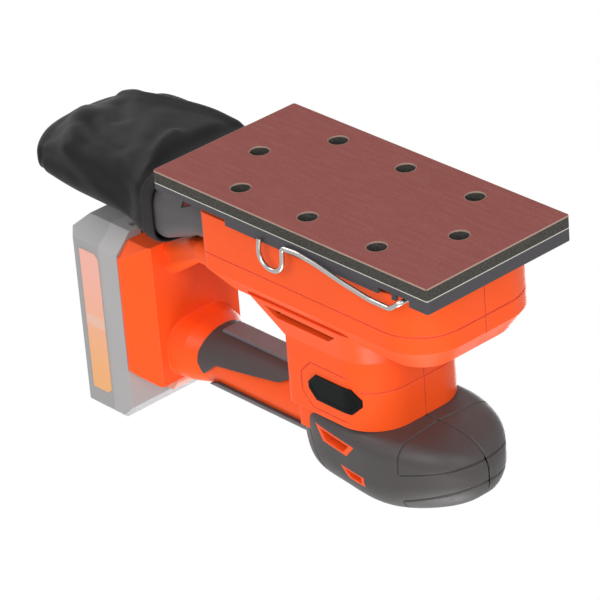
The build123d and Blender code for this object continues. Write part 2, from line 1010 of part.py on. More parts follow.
def base_plate():
    """Plate that closes the lower housing round the fan."""
    inset = wall + slide_clearance
    outline = plan(
        skirt_half_width - inset,
        skirt_front - inset,
        skirt_rear - inset,
        skirt_corner_front - inset,
        skirt_corner_rear - inset,
        base_bottom,
    )
    plate = extrude(outline, base_thickness, dir=(0, 0, 1))
    plate -= rod_z(base_bore, 0, drive_y, base_bottom - 1, base_top + 1)
    for x, y in leg_sites():
        plate -= rod_z(leg_neck_radius + seat_clearance, x, y, base_bottom - 1, base_top + 1)
    for x, y in base_screw_sites():
        plate -= rod_z(screw_radius + seat_clearance, x, y, base_bottom - 1, base_top + 1)
        plate -= rod_z(
            screw_head_radius + seat_clearance, x, y, base_bottom - 1, base_bottom + base_screw_seat
        )
    return plate


def base_screws():
    """Screws that hold the base plate up to the housing bosses."""
    seat = base_bottom + base_screw_seat
    screws = []
    for x, y in base_screw_sites():
        shank = rod_z(screw_radius, x, y, seat, base_top + screw_grip)
        screws.append(shank + rod_z(screw_head_radius, x, y, seat - base_screw_head, seat))
    return screws


def rubber_legs():
    """Rubber legs between the platen and the base plate, each with a button through its hole."""
    legs = []
    for x, y in leg_sites():
        foot = rod_z(leg_foot_radius, x, y, plate_top, plate_top + leg_foot_height)
        neck = rod_z(leg_neck_radius, x, y, plate_top, base_top + leg_button_height)
        under = rod_z(leg_foot_radius, x, y, base_bottom - leg_flange_height, base_bottom)
        button = rod_z(leg_foot_radius - leg_button_inset, x, y, base_top, base_top + leg_button_height)
        legs.append(foot + neck + under + button)
    return legs


# Dust collar and bag


def collar_form(grow, y0, y1):
    """Collar outline, straight where it sits on the outlet and then swelling towards the bag's mouth."""
    grown = collar_wall + grow
    half_width = spout_half_width + slide_clearance + grown
    low = spout_bottom - slide_clearance - grown
    high = spout_top + slide_clearance + grown
    corner = spout_corner + grown
    seat = skirt_rear + spout_length
    mouth_high = collar_rear_top + grow
    front = section(y0, half_width, low, high, corner, corner)
    start = section(seat, half_width, low, high, corner, corner)
    swell = section(bag_front, collar_rear_half_width + grow, low, mouth_high, corner, corner)
    end = section(y1, collar_rear_half_width + grow, low, mouth_high, corner, corner)
    return loft([front, start, swell, end], ruled=True)


def dust_collar():
    """Hard mouth of the dust bag, which slides on the outlet."""
    shell = collar_form(0, collar_front, collar_rear) - collar_form(
        -collar_wall, collar_front - 1, collar_rear + 1
    )
    arrow_y = collar_front + arrow_setback
    arrow_z = (spout_bottom + spout_top) / 2 - arrow_drop
    arrow = side_prism(
        [
            (arrow_y, arrow_z - arrow_half),
            (arrow_y, arrow_z + arrow_half),
            (arrow_y - arrow_length, arrow_z),
        ],
        0,
        far / 2,
    )
    return shell - (arrow - collar_form(-arrow_depth, collar_front - 1, collar_rear + 1))


def dust_bag():
    """Soft bag behind the collar: a flattened pillow with its mouth drawn over the collar."""
    half = collar_rear_half_width + bag_cloth + bag_fit
    low = collar_bottom - bag_cloth - bag_fit
    high = collar_rear_top + bag_cloth + bag_fit
    stations = (
        (0.0, half, low, high),
        (0.12, half, low, high),
        (0.30, half - 0.8, low + 0.8, high - 2.5),
        (0.60, half - 0.8, low + 1.6, high - 4.5),
        (0.84, half - 2.0, low + 3.0, high - 6.5),
        (0.96, half - 5.5, low + 6.0, high - 10.5),
        (1.0, half - 11.0, low + 10.0, high - 15.0),
    )
    sections = []
    for share, wide, bottom, top in stations:
        y = bag_front + share * bag_length
        sections.append(section(y, wide, bottom, top, bag_corner, bag_corner))
    return loft(sections) - collar_form(bag_fit, collar_front, collar_rear + bag_fit)


# Pad assembly


def pad_layer(z0, z1, corner):
    """One flat layer of the pad with its dust holes."""
    half = pad_length / 2
    layer = extrude(plan(pad_width / 2, half, half, corner, corner, z0), z1 - z0, dir=(0, 0, 1))
    for x, y in dust_hole_sites():
        layer -= rod_z(dust_hole_radius, x, y, z0 - 1, z1 + 1)
    return layer


def platen():
    """Rigid platen: lip that ends ahead of the dust collar, dust holes, bearing boss, lugs and notches."""
    half = pad_length / 2
    body = pad_layer(platen_bottom, platen_top, pad_corner)
    inner = half - platen_lip_wall
    body -= extrude(
        plan(
            pad_width / 2 - platen_lip_wall, inner, inner, pad_corner, pad_corner, plate_top
        ), platen_lip_height, dir=(0, 0, 1)
    )
    body -= block(-pad_width, pad_width, lip_rear_end, pad_length, plate_top, platen_top + 1)
    for side in (-1, 1):
        for x in (-lug_x, lug_x):
            body += block(
                x - lug_half_width,
                x + lug_half_width,
                side * clamp_rod_y - lug_half_length,
                side * clamp_rod_y + lug_half_length,
                plate_top - 0.5,
                rod_z_level + wire_radius + lug_cover,
            )
    body += rod_z(pad_boss_radius, 0, pin_y, plate_top - 0.5, pad_boss_top)
    body -= rod_z(bearing_radius + press_clearance, 0, pin_y, pad_bearing_bottom, pad_boss_top + 1)
    body -= rod_z(pad_washer_radius + washer_room, 0, pin_y, platen_bottom - 1, pad_bearing_bottom + 1)
    rod_hole = rod_x(wire_radius + seat_clearance, -lug_x - 3, pad_width, -clamp_rod_y, rod_z_level)
    edge = pad_width / 2 - platen_lip_wall - 1
    cuts = [rod_hole]
    for y in (-clamp_rod_y, -clamp_rod_y + notch_pitch):
        cuts.append(
            block(edge, pad_width, y - notch_width / 2, y + notch_width / 2, plate_top, platen_top + 1)
        )
    for cut in cuts:
        body -= cut
        body -= turned(cut)
    return body


def clamp_wire():
    """Front clamp lever bent from one wire: cross rod, side arm and finger loop."""
    x = pad_width / 2 + clamp_wire_gap + wire_radius
    z = rod_z_level
    foot = z - wire_dip + 0.8
    points = [
        (-lug_x - lug_half_width, -clamp_rod_y, z),
        (x, -clamp_rod_y, z),
        (x, -clamp_rod_y + 7, z + wire_crest),
        (x, -clamp_rod_y + 20, z + wire_crest - 0.2),
        (x, -clamp_rod_y + 37, z + wire_dip),
        (x, -clamp_rod_y + 55, z - wire_dip + 1.6),
        (x, -clamp_rod_y + 68, z - wire_dip),
        (x, loop_rear - loop_width - 1.1, foot),
        (x, loop_rear - loop_width, foot + loop_height),
        (x, loop_rear, foot + loop_height),
        (x, loop_rear - 2.5, foot),
    ]
    bend = loop_width * 0.44
    radii = [2.5, 5.0, 20.0, 40.0, 40.0, 20.0, 2.2, bend, bend]
    path = FilletPolyline(*points, radius=radii)
    return sweep(Plane(path @ 0, z_dir=path % 0) * Circle(wire_radius), path=path)


def clamp_jaw():
    """Front clamp jaw rolled round the rod, with a lip that presses the sheet's end on the platen."""
    bar = rod_x(jaw_bar_radius, -jaw_half_length, jaw_half_length, -clamp_rod_y, rod_z_level)
    low = plate_top + running_clearance
    lip = block(
        -jaw_half_length,
        jaw_half_length,
        -clamp_rod_y,
        -clamp_rod_y + jaw_lip,
        low,
        low + jaw_lip_thickness,
    )
    return bar + lip - rod_x(wire_radius + press_clearance, -far, far, -clamp_rod_y, rod_z_level)


def pad_bearing():
    """Ball bearing in the platen's boss, on the eccentric pin."""
    return ring_z(
        bearing_radius,
        shaft_radius + running_clearance,
        0,
        pin_y,
        pad_bearing_bottom,
        pad_bearing_bottom + bearing_height,
    )


# Drive train


def drive_shaft():
    """Motor shaft with its eccentric pin below."""
    shaft = rod_z(shaft_radius, 0, drive_y, counterweight_bottom, shaft_top)
    pin = rod_z(shaft_radius, 0, pin_y, pad_bearing_bottom, counterweight_bottom)
    thread = rod_z(
        screw_radius + running_clearance,
        0,
        pin_y,
        pad_bearing_bottom - 1,
        pad_bearing_bottom + pad_screw_length + 1,
    )
    return shaft + pin - thread


def pad_washer():
    """Washer that holds the pad bearing up on the pin."""
    top = pad_bearing_bottom
    return ring_z(
        pad_washer_radius, screw_radius + seat_clearance, 0, pin_y, top - pad_washer_thickness, top
    )


def pad_screw():
    """Screw in the end of the eccentric pin."""
    seat = pad_bearing_bottom - pad_washer_thickness
    top = rod_z(pad_screw_head, 0, pin_y, seat - screw_head_height, seat)
    return top + rod_z(screw_radius, 0, pin_y, seat, pad_bearing_bottom + pad_screw_length) - rod_z(
        pad_screw_socket, 0, pin_y, 0, seat - pad_screw_socket_depth
    )


def counterweight():
    """Balance weight, a hub with a heavy half ring opposite the pin."""
    hub = rod_z(counterweight_hub, 0, drive_y, counterweight_bottom, counterweight_top)
    ring = rod_z(counterweight_radius, 0, drive_y, counterweight_bottom, counterweight_top)
    rear = block(-far, far, drive_y + counterweight_cut, far, 0, far)
    bore = rod_z(shaft_radius + press_clearance, 0, drive_y, 0, far)
    return hub + (ring & rear) - bore


def fan():
    """Dust and cooling fan, a disc with straight blades."""
    wheel = rod_z(fan_hub, 0, drive_y, fan_bottom, fan_top) + rod_z(
        fan_radius, 0, drive_y, fan_bottom, fan_bottom + fan_disc
    )
    blade = block(
        fan_hub - 1,
        fan_radius,
        -fan_blade_thickness / 2,
        fan_blade_thickness / 2,
        fan_bottom,
        fan_top - 1,
    )
    for i in range(fan_blades):
        wheel += Pos(0, drive_y, 0) * Rot(0, 0, 360.0 * i / fan_blades) * blade
    return wheel - rod_z(shaft_radius + press_clearance, 0, drive_y, 0, far)


def armature():
    """Slotted armature stack on the shaft."""
    stack = rod_z(armature_radius, 0, drive_y, armature_bottom, armature_top)
    slot = block(armature_core, far, -armature_slot / 2, armature_slot / 2, 0, far)
    for i in range(armature_slots):
        stack -= Pos(0, drive_y, 0) * Rot(0, 0, 360.0 * i / armature_slots) * slot
    return stack - rod_z(shaft_radius + press_clearance, 0, drive_y, 0, far)


def commutator():
    """Copper commutator above the armature."""
    return ring_z(
        commutator_radius, shaft_radius + press_clearance, 0, drive_y, armature_top, commutator_top
    )


def shaft_bearing(bottom):
    """Ball bearing on the motor shaft."""
    return ring_z(
        bearing_radius, shaft_radius + running_clearance, 0, drive_y, bottom, bottom + bearing_height
    )


def bearing_plate():
    """Cross plate in the lower housing that carries the lower bearing."""
    outline = plan(
        bearing_plate_half_width,
        bearing_plate_front,
        bearing_plate_rear,
        shoulder_corner_rear,
        shoulder_corner_rear,
        bearing_plate_bottom,
    )
    plate = extrude(outline, bearing_plate_thickness, dir=(0, 0, 1))
    plate += rod_z(bearing_boss_radius, 0, drive_y, lower_bearing_bottom, lower_bearing_top + motor_gap)
    plate -= rod_z(
        bearing_radius + press_clearance, 0, drive_y, lower_bearing_bottom - 1, lower_bearing_top
    )
    return plate - rod_z(
        shaft_radius + 1, 0, drive_y, lower_bearing_top - 1, lower_bearing_top + motor_gap + 1
    )


def motor_can():
    """Steel motor can, open above, on the bearing plate's boss."""
    can = rod_z(motor_radius, 0, drive_y, motor_bottom, motor_top)
    can -= rod_z(motor_radius - motor_wall, 0, drive_y, motor_bottom + motor_end, motor_top + 1)
    return can - rod_z(shaft_radius + 1.5, 0, drive_y, motor_bottom - 1, motor_bottom + motor_end + 1)


def motor_magnets():
    """Two curved magnets inside the can."""
    outer = motor_radius - motor_wall - press_clearance
    tube = ring_z(outer, outer - magnet_thickness, 0, drive_y, armature_bottom - 2, armature_top + 2)
    reach = 2 * motor_radius
    half = radians(magnet_angle / 2)
    wedge = [
        (0, drive_y),
        (reach * cos(half), drive_y - reach * sin(half)),
        (reach * cos(half), drive_y + reach * sin(half)),
    ]
    right = tube & plan_prism(wedge, 0, far)
    return [right, mirrored(right)]


def brush_cap():
    """Motor end cap with the upper bearing seat and two brush guides."""
    cap = rod_z(motor_radius, 0, drive_y, motor_top, brush_cap_top)
    cap -= rod_z(
        motor_radius - 2 * motor_wall,
        0,
        drive_y,
        upper_bearing_bottom + bearing_height,
        brush_cap_top + 1,
    )
    guide_end = motor_radius - motor_wall - seat_clearance - 1
    low = commutator_bottom + 1
    half = brush_width / 2 + seat_clearance
    for side in (-1, 1):
        x0 = side * (commutator_radius + 1.5)
        x1 = side * guide_end
        guide = block(
            min(x0, x1), max(x0, x1), drive_y - half - 1.5, drive_y + half + 1.5, low - 1.5, motor_top
        )
        bore = block(
            min(0, x1), max(
                0, x1
            ), drive_y - half, drive_y + half, low - seat_clearance, low + brush_width + seat_clearance
        )
        cap += guide - bore
    cap -= rod_z(
        bearing_radius + press_clearance,
        0,
        drive_y,
        upper_bearing_bottom,
        upper_bearing_bottom + bearing_height + 1,
    )
    return cap - rod_z(commutator_radius + 1, 0, drive_y, 0, upper_bearing_bottom + 1)


def carbon_brushes():
    """Two carbon brushes beside the commutator."""
    low = commutator_bottom + 1
    x0 = commutator_radius + brush_gap
    brush = block(
        x0,
        x0 + brush_length,
        drive_y - brush_width / 2,
        drive_y + brush_width / 2,
        low,
        low + brush_width,
    )
    return [brush, mirrored(brush)]


# Switch, leads and electronics


def switch_body():
    """Switch block held by ribs in the handle."""
    body = block(
        -switch_half_width, switch_half_width, switch_front, switch_rear, switch_bottom, switch_top
    )
    plunger = block(
        -2, 2, switch_front + 5, switch_front + 9, flange_top + trigger_travel + 0.5, switch_bottom
    )
    return body + plunger


def trigger():
    """Trigger paddle on the grip's underside with an inner flange that holds it in."""
    paddle = block(
        -trigger_half_width, trigger_half_width, trigger_front, trigger_rear, trigger_bottom, flange_top
    )
    paddle = fillet(paddle.edges().filter_by(Axis.X).group_by(Axis.Z)[0], 1.5)
    half = trigger_half_width + trigger_flange
    return paddle + block(-half, half, trigger_front, trigger_rear, flange_bottom, flange_top)


def trigger_spring():
    """Coil spring between the trigger's flange and the switch."""
    low = flange_top + trigger_spring_wire + running_clearance
    height = switch_bottom - trigger_spring_wire - running_clearance - low
    path = Helix(height / trigger_spring_turns, height, trigger_spring_radius)
    coil = sweep(Plane(path @ 0, z_dir=path % 0) * Circle(trigger_spring_wire), path=path)
    return Pos(0, trigger_spring_y, low) * coil


def lead(points):
    """Insulated lead along a path with round bends."""
    path = FilletPolyline(*points, radius=lead_bend)
    return sweep(Plane(path @ 0, z_dir=path % 0) * Circle(lead_radius), path=path)


def motor_leads():
    """Two leads from the switch to the motor's end cap."""
    level = switch_bottom + lead_level
    foot = motor_radius - motor_wall
    leads = []
    for side in (-1, 1):
        x = side * lead_spread
        points = [
            (x, switch_front, level), (x, drive_y + foot, level), (x, drive_y + foot, brush_cap_top)
        ]
        leads.append(lead(points))
    return leads


def battery_leads():
    """Two leads from the control board to the switch."""
    level = switch_bottom + lead_level
    end = board_rear - board_thickness
    return [rod_y(lead_radius, side * lead_spread, switch_rear, end, level) for side in (-1, 1)]


def control_board():
    """Circuit board in the column, on the terminal block's posts."""
    high = switch_bottom + lead_level + lead_room
    return block(
        -board_half_width,
        board_half_width,
        board_rear - board_thickness,
        board_rear,
        terminal_bottom + 4,
        high,
    )


def terminal_block():
    """Contact carrier in the column's rear window, with posts that hold the board."""
    body = block(
        -terminal_half_width,
        terminal_half_width,
        column_rear - 1.5 * wall,
        rail_rear,
        terminal_bottom,
        terminal_top,
    )
    post_y = column_rear - 1.5 * wall
    post_x = terminal_half_width - post_inset / 2
    posts = rod_y(post_radius, post_x, board_rear, post_y, terminal_top - post_inset)
    posts += rod_y(post_radius, post_x, board_rear, post_y, terminal_bottom + post_inset)
    body += both_sides(posts)
    for i in (-1, 0, 1):
        x = i * blade_pitch
        half = blade_thickness / 2 + press_clearance
        body -= block(
            x - half,
            x + half,
            0,
            far,
            blade_bottom - press_clearance,
            blade_bottom + blade_height + press_clearance,
        )
    return body


def terminal_blades():
    """Three contact blades through the terminal block."""
    half = blade_thickness / 2
    return [
        block(
            i * blade_pitch - half,
            i * blade_pitch + half,
            board_rear,
            blade_end,
            blade_bottom,
            blade_bottom + blade_height,
        )
        for i in (-1, 0, 1)
    ]


# Battery


def battery_form(inset):
    """Chamfered outer form of the whole pack."""
    wide = battery_half_width - inset
    front = battery_front + inset
    rear = battery_rear - inset
    low = battery_bottom + inset
    high = battery_top - inset
    cut = battery_chamfer
    flank = rear - cut
    outline = [
        (-wide, front),
        (wide, front),
        (wide, flank),
        (wide - cut, rear),
        (cut - wide, rear),
        (-wide, flank),
    ]
    end = battery_end_chamfer
    foot = battery_foot_chamfer
    ends = [
        (foot - wide, low),
        (wide - foot, low),
        (wide, low + foot),
        (wide, high - end),
        (wide - end, high),
        (end - wide, high),
        (-wide, high - end),
        (-wide, low + foot),
    ]
    brow = battery_brow - inset
    profile = [
        (front, low),
        (rear - foot, low),
        (rear, low + foot),
        (rear, high - end),
        (rear - end, high),
        (front + brow, high),
        (front, high - brow),
    ]
    return plan_prism(outline, low, high) & front_prism(ends, front, rear) & side_prism(
        profile, -wide, wide
    )


def rail_slot():
    """Slot in the battery for the column's rails, open at the bottom."""
    gap = slide_clearance
    neck = rail_inner + rail_web + gap
    wide = rail_inner + rail_flange + gap
    low = battery_bottom - 1
    high = rail_top + gap
    slot = block(-neck, neck, battery_front - 1, slot_back, low, high)
    return slot + block(-wide, wide, rail_rear - rail_flange_depth - gap, slot_back, low, high)


def contact_slots():
    """Narrow slots in the battery for the contact blades, open at the bottom."""
    half = blade_thickness / 2 + 1.0
    high = blade_bottom + blade_height + slide_clearance
    slots = []
    for i in (-1, 0, 1):
        x = i * blade_pitch
        slots.append(
            block(
                x - half, x + half, slot_back - 1, blade_end + slide_clearance, battery_bottom - 1, high
            ),
        )
    return slots


def battery_front_shell():
    """Front half of the battery case with the rail slot, contact slots and release pocket."""
    shell = battery_form(0) & block(-far, far, 0, battery_parting, 0, far)
    shell -= rail_slot()
    for slot in contact_slots():
        shell -= slot
    half = release_half_width + slide_clearance
    pocket_back = release_back + release_travel + slide_clearance + release_spring_length
    shell -= block(
        -half,
        half,
        battery_front - 1,
        pocket_back,
        release_bottom - slide_clearance,
        release_top + slide_clearance,
    )
    side = block(
        rail_inner + rail_flange + 2 * battery_wall,
        battery_half_width - 1.5 * battery_wall,
        battery_front + battery_wall,
        battery_parting + 1,
        battery_bottom + 2 * battery_end_chamfer,
        battery_top - 2 * battery_end_chamfer,
    )
    return shell - both_sides(side)


def battery_rear_shell():
    """Rear half of the battery case, a tub round the cells."""
    tub = battery_form(0) & block(-far, far, battery_parting, far, 0, far)
    return tub - (battery_form(battery_wall) & block(-far, far, battery_parting - 1, far, 0, far))


def battery_cells():
    """Round cells in one upright column, midway between the chamfered ends of the pack."""
    middle = (battery_bottom + battery_foot_chamfer + battery_top - battery_end_chamfer) / 2
    y = battery_parting + cell_radius + cell_gap
    first = middle - cell_pitch * (cell_count - 1) / 2
    return [
        rod_x(cell_radius, -cell_length / 2, cell_length / 2, y, first + i * cell_pitch)
        for i in range(cell_count)
    ]


def battery_labels():
    """Blank label panels on both sides of the pack."""
    middle = (battery_bottom + battery_top) / 2
    y0 = battery_parting + label_gap
    cut = label_corner
    low = middle - label_height / 2
    high = middle + label_height / 2
    y1 = y0 + label_width
    outline = [
        (y0, low + cut), (y0 + cut, low), (y1, low), (y1, high), (y0 + cut, high), (y0, high - cut)
    ]
    panel = side_prism(outline, battery_half_width, battery_half_width + label_thickness)
    return [panel, mirrored(panel)]


def battery_release():
    """Release button at the top front of the pack, above the column."""
    half = release_half_width
    outline = [
        (release_front, release_bottom),
        (release_back, release_bottom),
        (release_back, release_top),
        (release_front + release_slope, release_top),
        (release_front, release_top - release_slope_height),
    ]
    return side_prism(outline, -half, half)


def release_spring():
    """Stiff spring behind the release button, drawn at its pressed length on the pocket's back wall."""
    back = release_back + release_travel + slide_clearance + release_spring_length
    middle = (release_bottom + release_top) / 2
    front = back - release_spring_length
    return rod_y(release_spring_radius, 0, front, back, middle) - rod_y(
        release_spring_radius - 1, 0, front, back, middle
    )


def battery_contacts():
    """Spring contacts beside the blades, in the contact slots."""
    contacts = []
    for i in (-1, 0, 1):
        for side in (-1, 1):
            x0 = i * blade_pitch + side * (blade_thickness / 2 + 0.5)
            x1 = i * blade_pitch + side * (blade_thickness / 2 + 1.0)
            contacts.append(
                block(
                    min(x0, x1),
                    max(x0, x1),
                    slot_back + 0.5,
                    blade_end - 1,
                    blade_bottom + 2,
                    blade_bottom + blade_height - 2,
                )
            )
    return contacts


def build():
    """Makes every piece and returns them by node name."""
    outside = housing_outside()
    shell = housing_shell(outside, housing_hollow())
    palm_left, palm_right = palm_grip_halves(outside)
    pad_left, pad_right = grip_pads()
    wire = clamp_wire()
    jaw = clamp_jaw()
    return {
        "housing_left": housing_half(shell, 1),
        "housing_right": housing_half(shell, -1),
        "palm_grip_left": palm_left,
        "palm_grip_right": palm_right,
        "grip_pad_left": pad_left,
        "grip_pad_right": pad_right,
        "handle_top_strip": handle_top_strip(),
        "badge_left": badge(1),
        "badge_right": badge(-1),
        "housing_screws": housing_screws(),
        "base_plate": base_plate(),
        "base_screws": base_screws(),
        "rubber_legs": rubber_legs(),
        "dust_collar": dust_collar(),
        "dust_bag": dust_bag(),
        "sanding_sheet": pad_layer(0, sheet_thickness, pad_corner),
        "foam_pad": pad_layer(foam_bottom, film_bottom, pad_corner),
        "pad_film": pad_layer(film_bottom, platen_bottom, pad_corner),
        "platen": platen(),
        "front_clamp_wire": wire,
        "front_clamp_jaw": jaw,
        "rear_clamp_wire": turned(wire),
        "rear_clamp_jaw": turned(jaw),
        "pad_bearing": pad_bearing(),
        "pad_washer": pad_washer(),
        "pad_screw": pad_screw(),
        "drive_shaft": drive_shaft(),
        "counterweight": counterweight(),
        "fan": fan(),
        "armature": armature(),
        "commutator": commutator(),
        "lower_bearing": shaft_bearing(lower_bearing_bottom),
        "upper_bearing": shaft_bearing(upper_bearing_bottom),
        "bearing_plate": bearing_plate(),
        "motor_can": motor_can(),
        "motor_magnets": motor_magnets(),
        "brush_cap": brush_cap(),
        "carbon_brushes": carbon_brushes(),
        "switch_body": switch_body(),
        "trigger": trigger(),
        "trigger_spring": trigger_spring(),
        "motor_leads": motor_leads(),
        "battery_leads": battery_leads(),
        "control_board": control_board(),
        "terminal_block": terminal_block(),
        "terminal_blades": terminal_blades(),
        "battery_front_shell": battery_front_shell(),
        "battery_rear_shell": battery_rear_shell(),
        "battery_cells": battery_cells(),
        "battery_labels": battery_labels(),
        "battery_release": battery_release(),
        "release_spring": release_spring(),
        "battery_contacts": battery_contacts(),
    }


os.makedirs("parts", exist_ok=True)
for node, shape in build().items():
    if isinstance(shape, list):
        shape = Compound(children=[Compound(piece.solids()) for piece in shape])
    export_step(shape, f"parts/{node}.step")
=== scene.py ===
import logging
from dataclasses import dataclass, field
from enum import Enum

import bmesh
import bpy
import numpy as np
from mathutils import Matrix, Vector
from numpy.typing import NDArray


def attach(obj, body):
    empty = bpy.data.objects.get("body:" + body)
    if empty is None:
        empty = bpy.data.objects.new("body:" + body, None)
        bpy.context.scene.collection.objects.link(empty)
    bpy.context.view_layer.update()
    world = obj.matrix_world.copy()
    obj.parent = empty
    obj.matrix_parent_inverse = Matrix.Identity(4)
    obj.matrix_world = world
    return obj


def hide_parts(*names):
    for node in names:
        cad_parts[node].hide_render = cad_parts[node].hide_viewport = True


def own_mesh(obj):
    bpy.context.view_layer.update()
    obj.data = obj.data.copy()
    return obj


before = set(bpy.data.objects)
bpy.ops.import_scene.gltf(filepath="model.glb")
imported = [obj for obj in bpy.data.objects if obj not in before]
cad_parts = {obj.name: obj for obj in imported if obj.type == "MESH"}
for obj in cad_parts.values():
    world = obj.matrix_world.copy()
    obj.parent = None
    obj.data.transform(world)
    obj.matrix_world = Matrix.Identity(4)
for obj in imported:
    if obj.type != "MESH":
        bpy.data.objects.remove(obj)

LOG = logging.getLogger("orbital_sander")
MM = 0.001
FULL_TURN = 2.0 * np.pi
Triple = tuple[float, float, float]
Pair = tuple[float, float]
Points = NDArray[np.float64]
Socket = bpy.types.NodeSocket
Tree = bpy.types.NodeTree
Piece = bpy.types.Object


class Surface(Enum):
    """Kinds of surface, of which all but the moulded one add a pattern of their own to the shared grain."""

    MOULDED = "moulded"
    ABRASIVE = "abrasive"
    FOAM = "foam"
    CLOTH = "cloth"
    LABEL = "label"
    WINDING = "winding"


class Side(Enum):
    """The tool's two sides and the sign of X on each."""

    LEFT = 1.0
    RIGHT = -1.0


@dataclass(frozen=True)
class Finish:
    """Look of one material, with lengths in millimetres.

    Attributes:
        name: Name of the material.
        colour: Base colour in linear light.
        roughness: Roughness of the clean surface.
        surface: Kind of surface, which picks the pattern.
        grain: Size of the moulding or casting grain.
        grain_height: Height of that grain.
        tint: Share by which the colour wanders over the surface.
        edge: Radius over which sharp edges look rounded.
        edge_light: Share by which edges turn paler, as wear and painted highlight.
        metallic: 1 for bare metal.
        sheen: Weight of the soft sheen of rubber or cloth.
        specular: Strength of the shine of a surface that isn't metal.
    """

    name: str
    colour: Triple
    roughness: float
    surface: Surface = Surface.MOULDED
    grain: float = 0.5
    grain_height: float = 0.02
    tint: float = 0.05
    edge: float = 0.35
    edge_light: float = 0.12
    metallic: float = 0.0
    sheen: float = 0.0
    specular: float = 0.3


class Wires:
    """Adds nodes to one node tree and joins them."""

    def __init__(self, tree: Tree) -> None:
        """Keeps the tree that the nodes go into."""
        self.tree = tree

    def node(self, kind: str, **settings: object) -> bpy.types.Node:
        """Adds one node.

        Args:
            kind: Node type without its leading ShaderNode.
            settings: Properties to set on the node.

        Returns:
            The new node.
        """
        made = self.tree.nodes.new("ShaderNode" + kind)
        for key, value in settings.items():
            setattr(made, key, value)
        return made

    def feed(self, socket: Socket, value: object) -> None:
        """Joins a socket to another one, or sets its plain value.

        Args:
            socket: Socket that takes the value.
            value: Another socket, a plain value, or None to leave the socket as it is.
        """
        if isinstance(value, Socket):
            self.tree.links.new(value, socket)
        elif value is not None:
            socket.default_value = value

    def math(self, operation: str, a: object, b: object = None, c: object = None) -> Socket:
        """Works out one math operation.

        Args:
            operation: Name of the operation.
            a: First value or socket.
            b: Second one, if the operation has it.
            c: Third one, if the operation has it.

        Returns:
            Socket of the result.
        """
        made = self.node("Math", operation=operation)
        for socket, value in zip(made.inputs, (a, b, c)):
            self.feed(socket, value)
        return made.outputs[0]

    def span(self, value: object, levels: Pair, results: Pair) -> Socket:
        """Carries a value smoothly from one span to another and holds it inside.

        Args:
            value: Value or socket.
            levels: Where the first span starts and ends.
            results: What the value becomes at those two levels.

        Returns:
            Socket of the result.
        """
        made = self.node("MapRange", interpolation_type="SMOOTHSTEP")
        for socket, item in zip(made.inputs, (value, *levels, *results)):
            self.feed(socket, item)
        return made.outputs[0]

    def mix(self, share: object, a: object, b: object, blend: str = "MIX") -> Socket:
        """Mixes two colours.

        Args:
            share: Share of the second colour.
            a: First colour or its socket.
            b: Second colour or its socket.
            blend: How the second colour is laid on the first.

        Returns:
            Socket of the mixed colour.
        """
        made = self.node("Mix", data_type="RGBA", blend_type=blend)
        self.feed(made.inputs[0], share)
        for socket, value in ((made.inputs[6], a), (made.inputs[7], b)):
            self.feed(socket, (*value, 1.0) if isinstance(value, tuple) else value)
        return made.outputs[2]

    def noise(self, place: object, waves: object, detail: float, distortion: float = 0.0) -> Socket:
        """Adds soft noise from 0 to 1.

        Args:
            place: Place on the piece.
            waves: Waves in a metre.
            detail: Number of finer layers.
            distortion: How much the waves are bent.

        Returns:
            Socket of the noise.
        """
        made = self.node("TexNoise")
        self.feed(made.inputs["Vector"], place)
        self.feed(made.inputs["Scale"], waves)
        made.inputs["Detail"].default_value = detail
        made.inputs["Distortion"].default_value = distortion
        return made.outputs["Fac"]

    def cells(self, place: object, count: float, feature: str) -> Socket:
        """Adds a pattern of cells.

        Args:
            place: Place on the piece.
            count: Cells in a metre.
            feature: Kind of cell.

        Returns:
            Socket of the distance from the cell's middle.
        """
        made = self.node("TexVoronoi", feature=feature)
        self.feed(made.inputs["Vector"], place)
        made.inputs["Scale"].default_value = count
        return made.outputs["Distance"]

    def stretched(self, place: object, scale: Triple, turn: Triple = (0.0, 0.0, 0.0)) -> Socket:
        """Stretches and turns a place, so that a pattern on it is drawn out.

        Args:
            place: Place on the piece.
            scale: Scale along each axis.
            turn: Turn about each axis, in radians.

        Returns:
            Socket of the new place.
        """
        made = self.node("Mapping")
        self.feed(made.inputs["Vector"], place)
        made.inputs["Rotation"].default_value = turn
        made.inputs["Scale"].default_value = scale
        return made.outputs[0]

    def place(self) -> Socket:
        """Place on the piece in its own frame."""
        return self.node("TexCoord").outputs["Object"]

    def parts(self, vector: object) -> tuple[Socket, ...]:
        """Takes a vector apart.

        Args:
            vector: Socket of the vector.

        Returns:
            Sockets of its three parts.
        """
        made = self.node("SeparateXYZ")
        self.feed(made.inputs[0], vector)
        return tuple(made.outputs)


